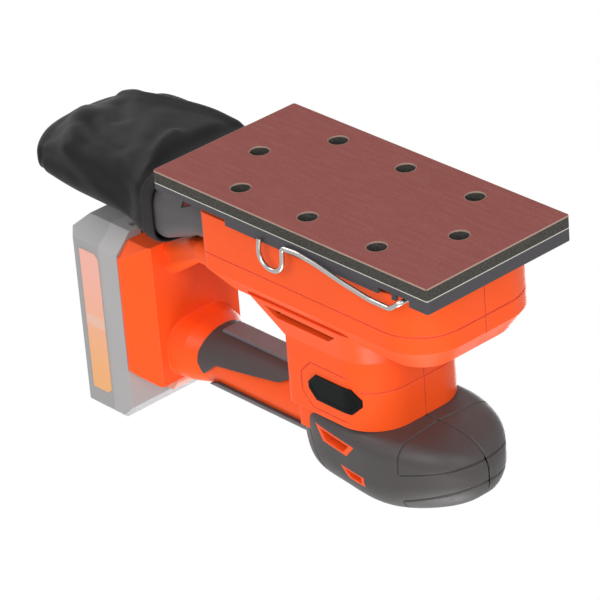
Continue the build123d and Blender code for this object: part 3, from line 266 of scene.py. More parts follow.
@dataclass
class SharedEffects:
    """Node groups that several materials use, each built once.

    Attributes:
        edge_levels: Lean of the averaged normal at a full edge, and where the edge ends.
        crevice_levels: Share of open sky in a deep gap, and where the gap ends.
        smudge_levels: Noise at which a smudge starts, and at which it is full.
        rub_levels: The same for a fine rub.
        rub_turn: Turn of the rubs against the tool, in radians.
        rub_stretch: Scale of the rubs along each axis.
        over_levels: Product of the two thread waves at which one thread starts, and ends, to lie on top.
        yarn_waves: Waves of uneven yarn in a metre.
    """

    edge_levels: Pair = (0.80, 0.995)
    crevice_levels: Pair = (0.15, 0.45)
    smudge_levels: Pair = (0.45, 0.75)
    rub_levels: Pair = (0.62, 0.72)
    rub_turn: Triple = (0.4, 0.7, 0.3)
    rub_stretch: Triple = (1.0, 12.0, 12.0)
    over_levels: Pair = (-0.35, 0.35)
    yarn_waves: float = 900.0

    def __post_init__(self) -> None:
        """Builds the groups."""
        self.grain = self._grain()
        self.edge = self._edge()
        self.handling = self._handling()
        self.weave = self._weave()

    @staticmethod
    def _group(name: str, inputs: dict[str, float], outputs: tuple[str, ...]) -> tuple[Wires, dict, dict]:
        """Starts a group.

        Args:
            name: Name of the group.
            inputs: Input names with their first values.
            outputs: Output names, of which one called Normal carries a vector.

        Returns:
            The group's wires, its input sockets and its output sockets by name.
        """
        tree = bpy.data.node_groups.new(name, "ShaderNodeTree")
        for key, value in inputs.items():
            socket = tree.interface.new_socket(key, in_out="INPUT", socket_type="NodeSocketFloat")
            socket.default_value = value
        for key in outputs:
            kind = "NodeSocketVector" if key == "Normal" else "NodeSocketFloat"
            tree.interface.new_socket(key, in_out="OUTPUT", socket_type=kind)
        entry = tree.nodes.new("NodeGroupInput")
        leave = tree.nodes.new("NodeGroupOutput")
        return Wires(tree), {s.name: s for s in entry.outputs}, {s.name: s for s in leave.inputs}

    def _grain(self) -> Tree:
        """Moulding grain: fine noise for the height and a slow wander for the tint.

        Returns:
            The group.
        """
        inputs = {"Size": 0.5 * MM, "Wander": 30.0 * MM}
        wires, given, made = self._group("moulding_grain", inputs, ("Height", "Tint"))
        place = wires.place()
        fine = wires.noise(place, wires.math("DIVIDE", 1.0, given["Size"]), detail=3.0)
        slow = wires.noise(place, wires.math("DIVIDE", 1.0, given["Wander"]), detail=2.0, distortion=0.6)
        wires.feed(made["Height"], fine)
        wires.feed(made["Tint"], wires.math("SUBTRACT", slow, 0.5))
        return wires.tree

    def _edge(self) -> Tree:
        """Edges and crevices: a normal averaged over a radius, where it leans, and where a gap hides the sky.

        Returns:
            The group.
        """
        inputs = {"Radius": 0.4 * MM, "Gap": 1.2 * MM}
        wires, given, made = self._group("edges_and_crevices", inputs, ("Normal", "Mask", "Crevice"))
        bevel = wires.node("Bevel", samples=4)
        wires.feed(bevel.inputs["Radius"], given["Radius"])
        lean = wires.node("VectorMath", operation="DOT_PRODUCT")
        wires.feed(lean.inputs[0], bevel.outputs[0])
        wires.feed(lean.inputs[1], wires.node("NewGeometry").outputs["Normal"])
        open_sky = wires.node("AmbientOcclusion", samples=5, only_local=True)
        wires.feed(open_sky.inputs["Distance"], given["Gap"])
        crevice = wires.span(open_sky.outputs["AO"], self.crevice_levels, (1.0, 0.0))
        edge = wires.span(lean.outputs["Value"], self.edge_levels, (1.0, 0.0))
        wires.feed(made["Normal"], bevel.outputs[0])
        wires.feed(made["Mask"], wires.math("MULTIPLY", edge, wires.math("SUBTRACT", 1.0, crevice)))
        wires.feed(made["Crevice"], crevice)
        return wires.tree

    def _handling(self) -> Tree:
        """Faint marks of handling: stretched noise for fine rubs and broad noise for smudges.

        Returns:
            The group.
        """
        wires, given, made = self._group("handling_marks", {"Size": 12.0 * MM}, ("Smudge", "Rub"))
        place = wires.place()
        drawn_out = wires.stretched(place, self.rub_stretch, self.rub_turn)
        density = wires.math("DIVIDE", 1.0, given["Size"])
        rub = wires.noise(drawn_out, density, detail=4.0)
        smudge = wires.noise(place, density, detail=3.0, distortion=1.2)
        wires.feed(made["Smudge"], wires.span(smudge, self.smudge_levels, (0.0, 1.0)))
        wires.feed(made["Rub"], wires.span(rub, self.rub_levels, (0.0, 1.0)))
        return wires.tree

    def _weave(self) -> Tree:
        """Plain weave on the piece's own UV map: warp and weft ridges that take turns to lie on top.

        Returns:
            The group.
        """
        wires, given, made = self._group("plain_weave", {"Pitch": 0.6 * MM}, ("Height", "Tint"))
        across, along, _ = wires.parts(wires.node("UVMap").outputs[0])
        turn = wires.math("DIVIDE", np.pi, given["Pitch"])
        warp = wires.math("SINE", wires.math("MULTIPLY", across, turn))
        weft = wires.math("SINE", wires.math("MULTIPLY", along, turn))
        rise = wires.span(wires.math("MULTIPLY", warp, weft), self.over_levels, (0.0, 1.0))
        low = wires.math("MULTIPLY", wires.math("ABSOLUTE", weft), wires.math("SUBTRACT", 1.0, rise))
        high = wires.math("MULTIPLY", wires.math("ABSOLUTE", warp), rise)
        yarn = wires.noise(wires.place(), self.yarn_waves, detail=2.0)
        wires.feed(made["Height"], wires.math("ADD", low, high))
        wires.feed(made["Tint"], wires.math("SUBTRACT", yarn, 0.5))
        return wires.tree


@dataclass(frozen=True)
class GritPattern:
    """Grit on paper, which shows bare where the sheet was cut, with lengths in millimetres.

    Attributes:
        strip: X and Y at which the strip along the sheet's edges starts, in which bare paper shows.
        cut: Distances into that strip at which bare paper starts, and is full.
        holes: X and Y of the dust holes in one quarter of the sheet.
        rim: Radii to which bare paper is full round a hole, and at which it ends.
        bare: Share of bare paper there.
        paper: Colour of bare paper.
        grains: Grains in a metre.
        grain_levels: Distances from a grain's middle at which its top ends, and its foot.
        bright: Colour of the grains' tops.
        bright_levels: Height of a grain at which that colour starts, and is full.
        bright_share: Share of that colour.
        specks: Waves of dark specks in a metre.
        dark: Colour of the specks.
        dark_levels: Noise at which a speck starts, and is full.
        dark_share: Share of their colour.
        streaks: Waves of streaks in a metre.
        streak_stretch: Scale of the streaks along each axis.
        streaked: Colour of the streaks.
        streak_levels: Noise at which a streak starts, and is full.
        streak_share: Share of their colour.
    """

    strip: Pair = (46.2, 93.2)
    cut: Pair = (0.05, 0.25)
    holes: tuple[Pair, ...] = ((32.0, 0.0), (32.0, 46.5), (0.0, 68.0))
    rim: Pair = (5.05, 5.35)
    bare: float = 0.85
    paper: Triple = (0.46, 0.33, 0.27)
    grains: float = 2600.0
    grain_levels: Pair = (0.1, 0.75)
    bright: Triple = (0.55, 0.27, 0.23)
    bright_levels: Pair = (0.75, 1.0)
    bright_share: float = 0.35
    specks: float = 3000.0
    dark: Triple = (0.16, 0.036, 0.030)
    dark_levels: Pair = (0.35, 0.7)
    dark_share: float = 0.55
    streaks: float = 420.0
    streak_stretch: Triple = (1.0, 0.12, 1.0)
    streaked: Triple = (0.36, 0.14, 0.12)
    streak_levels: Pair = (0.4, 0.7)
    streak_share: float = 0.22

    def bare_paper(self, wires: Wires, place: Socket) -> Socket:
        """Mask of the bare paper at the sheet's edges and round its dust holes.

        Args:
            wires: Wires of the material.
            place: Place on the sheet.

        Returns:
            Socket of the mask.
        """
        x, y, _ = wires.parts(place)
        wide = wires.math("ABSOLUTE", x)
        long = wires.math("ABSOLUTE", y)
        past_side = wires.math("SUBTRACT", wide, self.strip[0] * MM)
        past_end = wires.math("SUBTRACT", long, self.strip[1] * MM)
        start, full = np.multiply(self.cut, MM).tolist()
        mask = wires.span(wires.math("MAXIMUM", past_side, past_end), (start, full), (0.0, 1.0))
        inner, outer = np.multiply(self.rim, MM).tolist()
        for hole_x, hole_y in self.holes:
            off_x = wires.math("SUBTRACT", wide, hole_x * MM)
            off_y = wires.math("SUBTRACT", long, hole_y * MM)
            square = wires.math("MULTIPLY_ADD", off_x, off_x, wires.math("MULTIPLY", off_y, off_y))
            rim = wires.span(wires.math("SQRT", square), (inner, outer), (1.0, 0.0))
            mask = wires.math("MAXIMUM", mask, rim)
        return mask

    def draw(self, wires: Wires, colour: object) -> tuple[Socket, Socket]:
        """Sharp grains with dark specks and faint streaks, and bare paper at the cuts.

        Args:
            wires: Wires of the material.
            colour: Tinted base colour.

        Returns:
            Sockets of the colour and the height.
        """
        place = wires.place()
        grit = wires.span(wires.cells(place, self.grains, "F1"), self.grain_levels, (1.0, 0.0))
        speck = wires.noise(place, self.specks, detail=2.0)
        streak = wires.noise(wires.stretched(place, self.streak_stretch), self.streaks, detail=3.0)
        dark = wires.span(speck, self.dark_levels, (0.0, self.dark_share))
        bright = wires.span(grit, self.bright_levels, (0.0, self.bright_share))
        streaked = wires.span(streak, self.streak_levels, (0.0, self.streak_share))
        colour = wires.mix(dark, colour, self.dark)
        colour = wires.mix(bright, colour, self.bright)
        colour = wires.mix(streaked, colour, self.streaked)
        mask = wires.math("MULTIPLY", self.bare_paper(wires, place), self.bare)
        return wires.mix(mask, colour, self.paper), grit


@dataclass(frozen=True)
class FoamPattern:
    """Open foam: rounded cells with dark pores between them and a few pale specks.

    Attributes:
        pores: Cells in a metre.
        pore_levels: Distances from a cell's middle at which a pore starts, and is full.
        dark: Colour in a pore.
        dark_share: Share of that colour.
        specks: Waves of the specks in a metre.
        speck_levels: Noise at which a speck starts, and is full.
        pale: Colour of a speck.
        pale_share: Share of that colour.
    """

    pores: float = 1500.0
    pore_levels: Pair = (0.15, 0.6)
    dark: Triple = (0.02, 0.019, 0.016)
    dark_share: float = 0.5
    specks: float = 1100.0
    speck_levels: Pair = (0.55, 0.75)
    pale: Triple = (0.2, 0.19, 0.16)
    pale_share: float = 0.3

    def draw(self, wires: Wires, colour: object) -> tuple[Socket, Socket]:
        """Darkens the pores and lightens the specks.

        Args:
            wires: Wires of the material.
            colour: Tinted base colour.

        Returns:
            Sockets of the colour and the height.
        """
        place = wires.place()
        pore = wires.span(wires.cells(place, self.pores, "SMOOTH_F1"), self.pore_levels, (0.0, 1.0))
        speck = wires.noise(place, self.specks, detail=2.0)
        pale = wires.span(speck, self.speck_levels, (0.0, self.pale_share))
        colour = wires.mix(wires.math("MULTIPLY", pore, self.dark_share), colour, self.dark)
        colour = wires.mix(pale, colour, self.pale)
        return colour, wires.math("SUBTRACT", 1.0, pore)


@dataclass(frozen=True)
class ClothPattern:
    """Woven cloth with a slightly uneven yarn and worn tops of the threads.

    Attributes:
        yarn_share: Share of the uneven yarn in what is worn.
        worn: Colour on top of a thread.
        worn_levels: Height at which that colour starts, and is full.
        worn_share: Share of that colour.
        deep: Colour between the threads.
        deep_levels: Height at which that colour is full, and ends.
        deep_share: Share of that colour.
    """

    yarn_share: float = 0.5
    worn: Triple = (0.018, 0.0165, 0.0172)
    worn_levels: Pair = (0.5, 1.1)
    worn_share: float = 0.5
    deep: Triple = (0.006, 0.006, 0.006)
    deep_levels: Pair = (0.0, 0.45)
    deep_share: float = 0.6

    def draw(self, wires: Wires, colour: object, weave: bpy.types.Node) -> tuple[Socket, Socket]:
        """Lightens the tops of the threads and darkens the gaps.

        Args:
            wires: Wires of the material.
            colour: Tinted base colour.
            weave: Shared weave, placed in the material.

        Returns:
            Sockets of the colour and the height.
        """
        height = weave.outputs["Height"]
        yarn = wires.math("MULTIPLY_ADD", weave.outputs["Tint"], self.yarn_share, height)
        worn = wires.span(yarn, self.worn_levels, (0.0, self.worn_share))
        deep = wires.span(height, self.deep_levels, (self.deep_share, 0.0))
        colour = wires.mix(worn, colour, self.worn)
        return wires.mix(deep, colour, self.deep), height


@dataclass(frozen=True)
class LabelPattern:
    """Blank label that turns to a deeper orange upwards, with a pale band, in millimetres.

    Attributes:
        fade: Z at which the deeper colour starts, and is full.
        band: Z of the band's middle.
        band_edge: Distances from that middle at which the band starts, and ends, to fade.
        band_share: Share of the band's colour.
        deep: Deeper colour.
        pale: Colour of the band.
    """

    fade: Pair = (80.0, 150.0)
    band: float = 113.0
    band_edge: Pair = (2.0, 4.0)
    band_share: float = 0.5
    deep: Triple = (0.86, 0.42, 0.17)
    pale: Triple = (0.75, 0.55, 0.48)

    def draw(self, wires: Wires, colour: Triple) -> Socket:
        """Lays the deeper colour and the band on the label.

        Args:
            wires: Wires of the material.
            colour: Base colour.

        Returns:
            Socket of the colour.
        """
        _, _, up = wires.parts(wires.place())
        level = wires.math("DIVIDE", up, MM)
        colour = wires.mix(wires.span(level, self.fade, (0.0, 1.0)), colour, self.deep)
        away = wires.math("ABSOLUTE", wires.math("SUBTRACT", level, self.band))
        return wires.mix(wires.span(away, self.band_edge, (self.band_share, 0.0)), colour, self.pale)


@dataclass(frozen=True)
class WindingPattern:
    """Stacked sheets or wound wire: fine level rings.

    Attributes:
        dark: Colour between the rings.
        dark_levels: Height at which that colour is full, and ends.
        dark_share: Share of that colour.
    """

    dark: Triple = (0.02, 0.02, 0.02)
    dark_levels: Pair = (-1.0, 0.2)
    dark_share: float = 0.45

    def draw(self, wires: Wires, colour: object, pitch: float) -> tuple[Socket, Socket]:
        """Darkens the gaps between the rings, whose height is a sine of Z.

        Args:
            wires: Wires of the material.
            colour: Tinted base colour.
            pitch: Distance from ring to ring, in metres.

        Returns:
            Sockets of the colour and the height.
        """
        _, _, up = wires.parts(wires.place())
        ring = wires.math("SINE", wires.math("MULTIPLY", up, FULL_TURN / pitch))
        dark = wires.span(ring, self.dark_levels, (self.dark_share, 0.0))
        return wires.mix(dark, colour, self.dark), ring


@dataclass
class MaterialShop:
    """Makes each finish into a material once.

    Attributes:
        sheen_roughness: Roughness of the soft sheen.
        edge_wear_and_highlight: Share of white at an edge, as wear and painted highlight.
        painted_crevice_shade: Share of black at the bottom of a crevice.
        crevice: Share by which grooves and inner corners turn that dark, which is painted shade.
        smudge_gain: Roughness that a smudge adds.
        rub_gain: Roughness that a rub adds.
        effects: Shared node groups.
        made: Materials by name.
    """

    sheen_roughness: float = 0.5
    edge_wear_and_highlight: float = 0.55
    painted_crevice_shade: float = 0.88
    crevice: float = 0.75
    smudge_gain: float = 0.06
    rub_gain: float = 0.05
    effects: SharedEffects = field(default_factory=SharedEffects)
    made: dict[str, bpy.types.Material] = field(default_factory=dict)

    def get(self, finish: Finish) -> bpy.types.Material:
        """The material of a finish, made at its first use.

        Args:
            finish: Look of the material.

        Returns:
            The material.
        """
        if finish.name not in self.made:
            self.made[finish.name] = self._make(finish)
        return self.made[finish.name]

    def _place(self, wires: Wires, group: Tree, **values: float) -> bpy.types.Node:
        """Places a shared group in a material.

        Args:
            wires: Wires of the material.
            group: The group.
            values: Its inputs in this material.

        Returns:
            The group's node.
        """
        node = wires.node("Group", node_tree=group)
        for key, value in values.items():
            node.inputs[key].default_value = value
        return node

    def _make(self, finish: Finish) -> bpy.types.Material:
        """Builds a material: tint, edge wear with painted highlight and painted shade in the crevices on the
        colour, marks on the roughness, grain on the bump.

        Args:
            finish: Look of the material.

        Returns:
            The new material.
        """
        material = bpy.data.materials.new(finish.name)
        material.use_nodes = True
        wires = Wires(material.node_tree)
        shader = material.node_tree.nodes["Principled BSDF"]
        shader.inputs["Metallic"].default_value = finish.metallic
        shader.inputs["Specular IOR Level"].default_value = finish.specular
        shader.inputs["Sheen Weight"].default_value = finish.sheen
        shader.inputs["Sheen Roughness"].default_value = self.sheen_roughness
        edge = self._place(wires, self.effects.edge, Radius=finish.edge * MM)
        marks = self._place(wires, self.effects.handling)
        colour, height = self._pattern(wires, finish)
        # Painted highlight and wear: sharp outer edges turn paler towards white.
        pale = wires.mix(self.edge_wear_and_highlight, colour, (1.0, 1.0, 1.0))
        colour = wires.mix(wires.math("MULTIPLY", edge.outputs["Mask"], finish.edge_light), colour, pale)
        # Painted shade: grooves and inner corners that the ambient occlusion finds are darkened towards
        # black.
        dark = wires.mix(self.painted_crevice_shade, colour, (0.0, 0.0, 0.0))
        colour = wires.mix(wires.math("MULTIPLY", edge.outputs["Crevice"], self.crevice), colour, dark)
        rough = wires.math("MULTIPLY_ADD", marks.outputs["Smudge"], self.smudge_gain, finish.roughness)
        rough = wires.math("MULTIPLY_ADD", marks.outputs["Rub"], self.rub_gain, rough)
        bump = wires.node("Bump")
        bump.inputs["Strength"].default_value = 1.0
        bump.inputs["Distance"].default_value = finish.grain_height * MM
        wires.feed(bump.inputs["Height"], height)
        wires.feed(bump.inputs["Normal"], edge.outputs["Normal"])
        wires.feed(shader.inputs["Base Color"], colour)
        wires.feed(shader.inputs["Roughness"], rough)
        wires.feed(shader.inputs["Normal"], bump.outputs[0])
        return material

    def _pattern(self, wires: Wires, finish: Finish) -> tuple[Socket, Socket]:
        """Tinted colour and height of a finish, with the pattern of its kind of surface.

        Args:
            wires: Wires of the material.
            finish: Look of the material.

        Returns:
            Sockets of the colour and the height.
        """
        grain = self._place(wires, self.effects.grain, Size=finish.grain * MM)
        tint = wires.math("MULTIPLY_ADD", grain.outputs["Tint"], 2.0 * finish.tint, 1.0)
        shade = wires.node("CombineXYZ")
        for socket in shade.inputs:
            wires.feed(socket, tint)
        colour = wires.mix(1.0, finish.colour, shade.outputs[0], "MULTIPLY")
        height = grain.outputs["Height"]
        match finish.surface:
            case Surface.ABRASIVE:
                return GritPattern().draw(wires, colour)
            case Surface.FOAM:
                return FoamPattern().draw(wires, colour)
            case Surface.CLOTH:
                weave = self._place(wires, self.effects.weave, Pitch=finish.grain * MM)
                return ClothPattern().draw(wires, colour, weave)
            case Surface.LABEL:
                return LabelPattern().draw(wires, finish.colour), height
            case Surface.WINDING:
                return WindingPattern().draw(wires, colour, finish.grain * MM)
            case _:
                return colour, height


class Palette:
    """Finishes of this sander."""

    shell = Finish(
        "shell_orange", (0.96, 0.100, 0.014), 0.38,
        grain=0.35, grain_height=0.012, edge=0.5, edge_light=0.18, specular=0.20,
    )
    grip = Finish(
        "soft_grip", (0.062, 0.055, 0.055), 0.46, grain=0.28, grain_height=0.03, tint=0.10, edge=0.5,
    )
    trigger = Finish("trigger_grey", (0.17, 0.16, 0.17), 0.45, grain=0.3)
    badge = Finish(
        "badge_black", (0.006, 0.007, 0.007), 0.30,
        grain=0.2, grain_height=0.004, edge_light=0.05, specular=0.06,
    )
    platen = Finish(
        "platen_grey", (0.050, 0.047, 0.053), 0.48, grain=0.3, grain_height=0.025, edge=0.4,
    )
    collar = Finish(
        "collar_grey", (0.085, 0.080, 0.083), 0.50, grain=0.3, grain_height=0.03, edge=0.6,
    )
    cloth = Finish(
        "bag_cloth", (0.0070, 0.0062, 0.0066), 0.50, Surface.CLOTH,
        grain=0.55, grain_height=0.05, tint=0.12, edge=0.2, edge_light=0.0, sheen=0.01, specular=0.14,
    )
    piping = Finish(
        "bag_piping", (0.026, 0.024, 0.025), 0.80, Surface.CLOTH,
        grain_height=0.08, tint=0.08, edge=0.2, edge_light=0.0, sheen=0.03, specular=0.15,
    )
    thread = Finish(
        "bag_thread", (0.035, 0.033, 0.035), 0.70, grain=0.15, edge=0.1, edge_light=0.0, specular=0.15,
    )
    abrasive = Finish(
        "abrasive_grit", (0.300, 0.092, 0.082), 0.80, Surface.ABRASIVE,
        grain=0.2, grain_height=0.14, tint=0.06, edge=0.1, edge_light=0.0, specular=0.12,
    )
    foam = Finish(
        "pad_foam", (0.085, 0.082, 0.072), 0.90, Surface.FOAM,
        grain_height=0.25, tint=0.10, edge=0.2, edge_light=0.0, specular=0.1,
    )
    film = Finish("pad_film", (0.60, 0.56, 0.51), 0.45, grain=0.6, grain_height=0.01, edge=0.1)
    steel = Finish(
        "turned_steel", (0.54, 0.54, 0.56), 0.32,
        grain=0.2, grain_height=0.006, tint=0.06, edge=0.2, edge_light=0.2, metallic=1.0,
    )
    wire = Finish(
        "bright_wire", (0.42, 0.40, 0.385), 0.28,
        grain=0.25, grain_height=0.005, edge=0.1, edge_light=0.1, metallic=1.0,
    )
    iron = Finish(
        "laminated_iron", (0.15, 0.15, 0.16), 0.50, Surface.WINDING,
        grain=0.8, grain_height=0.05, tint=0.10, edge=0.2, edge_light=0.1, metallic=0.8,
    )
    copper = Finish(
        "copper", (0.70, 0.36, 0.20), 0.34,
        grain=0.2, grain_height=0.006, tint=0.10, edge=0.2, edge_light=0.2, metallic=1.0,
    )
    carbon = Finish("carbon", (0.020, 0.020, 0.021), 0.60, grain=0.15)
    black = Finish("moulded_black", (0.022, 0.022, 0.025), 0.45, grain=0.3)
    board = Finish("board_green", (0.030, 0.160, 0.070), 0.35, grain=0.8, grain_height=0.01, tint=0.15)
    lead = Finish("lead_red", (0.42, 0.022, 0.020), 0.42, grain=0.3, grain_height=0.01)
    pack = Finish("pack_grey", (0.41, 0.40, 0.40), 0.42, grain=0.3, edge=0.6, edge_light=0.3)
    # Painted shade: the same pack grey, made darker for the rear shell.
    pack_painted_shade = Finish("pack_grey_painted_shade", (0.35, 0.345, 0.345), 0.42, grain=0.3, edge=0.6, edge_light=0.3)
    label = Finish("pack_label", (0.88, 0.44, 0.36), 0.30, Surface.LABEL, grain_height=0.006, edge=0.15)
    latch = Finish("pack_latch", (0.88, 0.40, 0.30), 0.40, grain=0.3, grain_height=0.015)
    cell = Finish("cell_wrap", (0.12, 0.26, 0.48), 0.30, grain=0.6, grain_height=0.006)
    mark = Finish("collar_mark", (0.10, 0.014, 0.012), 0.50, grain=0.3, grain_height=0.01)


NODE_FINISHES: dict[Finish, tuple[str, ...]] = {
    Palette.shell: ("housing_left", "housing_right"),
    Palette.grip: (
        "palm_grip_left", "palm_grip_right", "grip_pad_left", "grip_pad_right",
        "handle_top_strip", "rubber_legs",
    ),
    Palette.trigger: ("trigger",),
    Palette.badge: ("badge_left", "badge_right"),
    Palette.platen: ("platen",),
    Palette.collar: ("dust_collar",),
    Palette.cloth: ("dust_bag",),
    Palette.abrasive: ("sanding_sheet",),
    Palette.foam: ("foam_pad",),
    Palette.film: ("pad_film",),
    Palette.wire: ("front_clamp_wire", "rear_clamp_wire"),
    Palette.steel: (
        "housing_screws", "base_screws", "front_clamp_jaw", "rear_clamp_jaw",
        "pad_bearing", "pad_washer", "pad_screw", "drive_shaft",
        "lower_bearing", "upper_bearing", "motor_can", "trigger_spring", "release_spring",
    ),
    Palette.iron: ("counterweight", "armature", "motor_magnets"),
    Palette.copper: ("commutator", "terminal_blades", "battery_contacts"),
    Palette.carbon: ("carbon_brushes",),
    Palette.black: (
        "base_plate", "fan", "bearing_plate", "brush_cap", "switch_body", "terminal_block",
    ),
    Palette.board: ("control_board",),
    Palette.lead: ("motor_leads", "battery_leads"),
    Palette.pack: ("battery_front_shell",),
    # The rear shell takes the darker copy of the pack grey, which is painted shade.
    Palette.pack_painted_shade: ("battery_rear_shell",),
    Palette.label: ("battery_labels",),
    Palette.latch: ("battery_release",),
    Palette.cell: ("battery_cells",),
}


def mesh_piece(name: str, points: Points, faces: NDArray[np.int64]) -> Piece:
    """Makes an object from an array of points and an array of faces, and links it to the scene.

    Args:
        name: Name of the piece.
        points: Points as rows of X, Y and Z in metres.
        faces: Point numbers, one row to a face.

    Returns:
        The new object, at the origin.
    """
    mesh = bpy.data.meshes.new(name)
    mesh.from_pydata(points.tolist(), [], faces.tolist())
    mesh.validate()
    mesh.update()
    piece = bpy.data.objects.new(name, mesh)
    bpy.context.scene.collection.objects.link(piece)
    return piece


def grid_faces(rows: int, columns: int) -> NDArray[np.int64]:
    """Quads of a grid of points that is closed round its columns.

    Args:
        rows: Number of rows.
        columns: Number of points in a row.

    Returns:
        One row of four point numbers to a quad.
    """
    row = np.arange(rows - 1)[:, None] * columns
    column = np.arange(columns)[None, :]
    after = (column + 1) % columns
    quads = np.stack([row + column, row + after, row + columns + after, row + columns + column], axis=-1)
    return quads.reshape(-1, 4)


def corners_of(piece: Piece) -> NDArray[np.int64]:
    """The point number at each corner of a piece's faces.

    Args:
        piece: The piece.

    Returns:
        Point numbers, face after face.
    """
    corners = np.empty(len(piece.data.loops), dtype=np.int64)
    piece.data.loops.foreach_get("vertex_index", corners)
    return corners


def set_uv(piece: Piece, uv: Points) -> None:
    """Gives a piece a UV map from one (u, v) pair to a point."""
    layer = piece.data.uv_layers.new(name="UVMap")
    layer.data.foreach_set("uv", uv[corners_of(piece)].astype(np.float32).ravel())


def points_of(piece: Piece) -> Points:
    """The points of a piece's mesh.

    Args:
        piece: The piece.

    Returns:
        Rows of X, Y and Z in metres.
    """
    flat = np.empty(3 * len(piece.data.vertices))
    piece.data.vertices.foreach_get("co", flat)
    return flat.reshape(-1, 3)


def normals_of(piece: Piece) -> Points:
    """The normals at the points of a piece's mesh.

    Args:
        piece: The piece.

    Returns:
        Rows of X, Y and Z.
    """
    flat = np.empty(3 * len(piece.data.vertices))
    piece.data.vertex_normals.foreach_get("vector", flat)
    return flat.reshape(-1, 3)


def put_points(piece: Piece, points: Points) -> None:
    """Writes an array of points back into a piece's mesh."""
    piece.data.vertices.foreach_set("co", points.ravel())
    piece.data.update()


def face_outwards(piece: Piece, sides: int = 64) -> None:
    """Closes the small open ends of a piece and turns its faces outwards.

    Args:
        piece: The piece.
        sides: Largest number of sides of an end that is closed.
    """
    build = bmesh.new()
    build.from_mesh(piece.data)
    bmesh.ops.holes_fill(build, edges=build.edges, sides=sides)
    bmesh.ops.recalc_face_normals(build, faces=build.faces)
    build.to_mesh(piece.data)
    build.free()
    piece.data.update()


def copy_of(node: str, name: str) -> Piece:
    """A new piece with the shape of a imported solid, whose own mesh stays as it is."""
    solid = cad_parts[node]
    return mesh_piece(name, points_of(solid), corners_of(solid).reshape(-1, 3))


def dress(piece: Piece, material: bpy.types.Material, body: str) -> None:
    """Gives a piece its material, smooth shading and its body.

    Args:
        piece: The piece.
        material: Its only material.
        body: Name of the body that it rides on.
    """
    piece.data.materials.clear()
    piece.data.materials.append(material)
    piece.data.polygons.foreach_set("use_smooth", np.full(len(piece.data.polygons), True))
    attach(piece, body)
    LOG.info("piece %s rides on %s", piece.name, body)


def unit(rows: Points) -> Points:
    """Rows brought to length 1."""
    return rows / np.maximum(np.linalg.norm(rows, axis=-1, keepdims=True), 1e-6)


@dataclass
class DressedFrame:
    """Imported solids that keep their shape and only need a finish.

    Attributes:
        shop: Source of the materials.
    """

    shop: MaterialShop

    def build(self) -> None:
        """Puts the finish of each node on its object."""
        for finish, nodes in NODE_FINISHES.items():
            for node in nodes:
                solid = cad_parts[node]
                solid.data.materials.clear()
                solid.data.materials.append(self.shop.get(finish))
            LOG.info("finish %s on %d nodes", finish.name, len(nodes))


@dataclass(frozen=True)
class Fold:
    """One soft fold of the bag, in millimetres.

    Attributes:
        path: Points (X, Y) that it runs through.
        width: Distance over which it fades out.
        height: Height of a ridge, or below zero the depth of a dip.
        below: True for the side of the bag that faces the pad's side, False for the other.
    """

    path: tuple[Pair, ...]
    width: float
    height: float
    below: bool = True

    def distance(self, spots: Points) -> Points:
        """Distance of each spot from the fold's path.

        Args:
            spots: Rows of X and Y.

        Returns:
            One distance to a spot.
        """
        away = np.full(len(spots), np.inf)
        for start, end in zip(self.path[:-1], self.path[1:]):
            run = np.subtract(end, start)
            part = np.clip((spots - start) @ run / (run @ run), 0.0, 1.0)
            away = np.minimum(away, np.linalg.norm(spots - start - part[:, None] * run, axis=1))
        return away


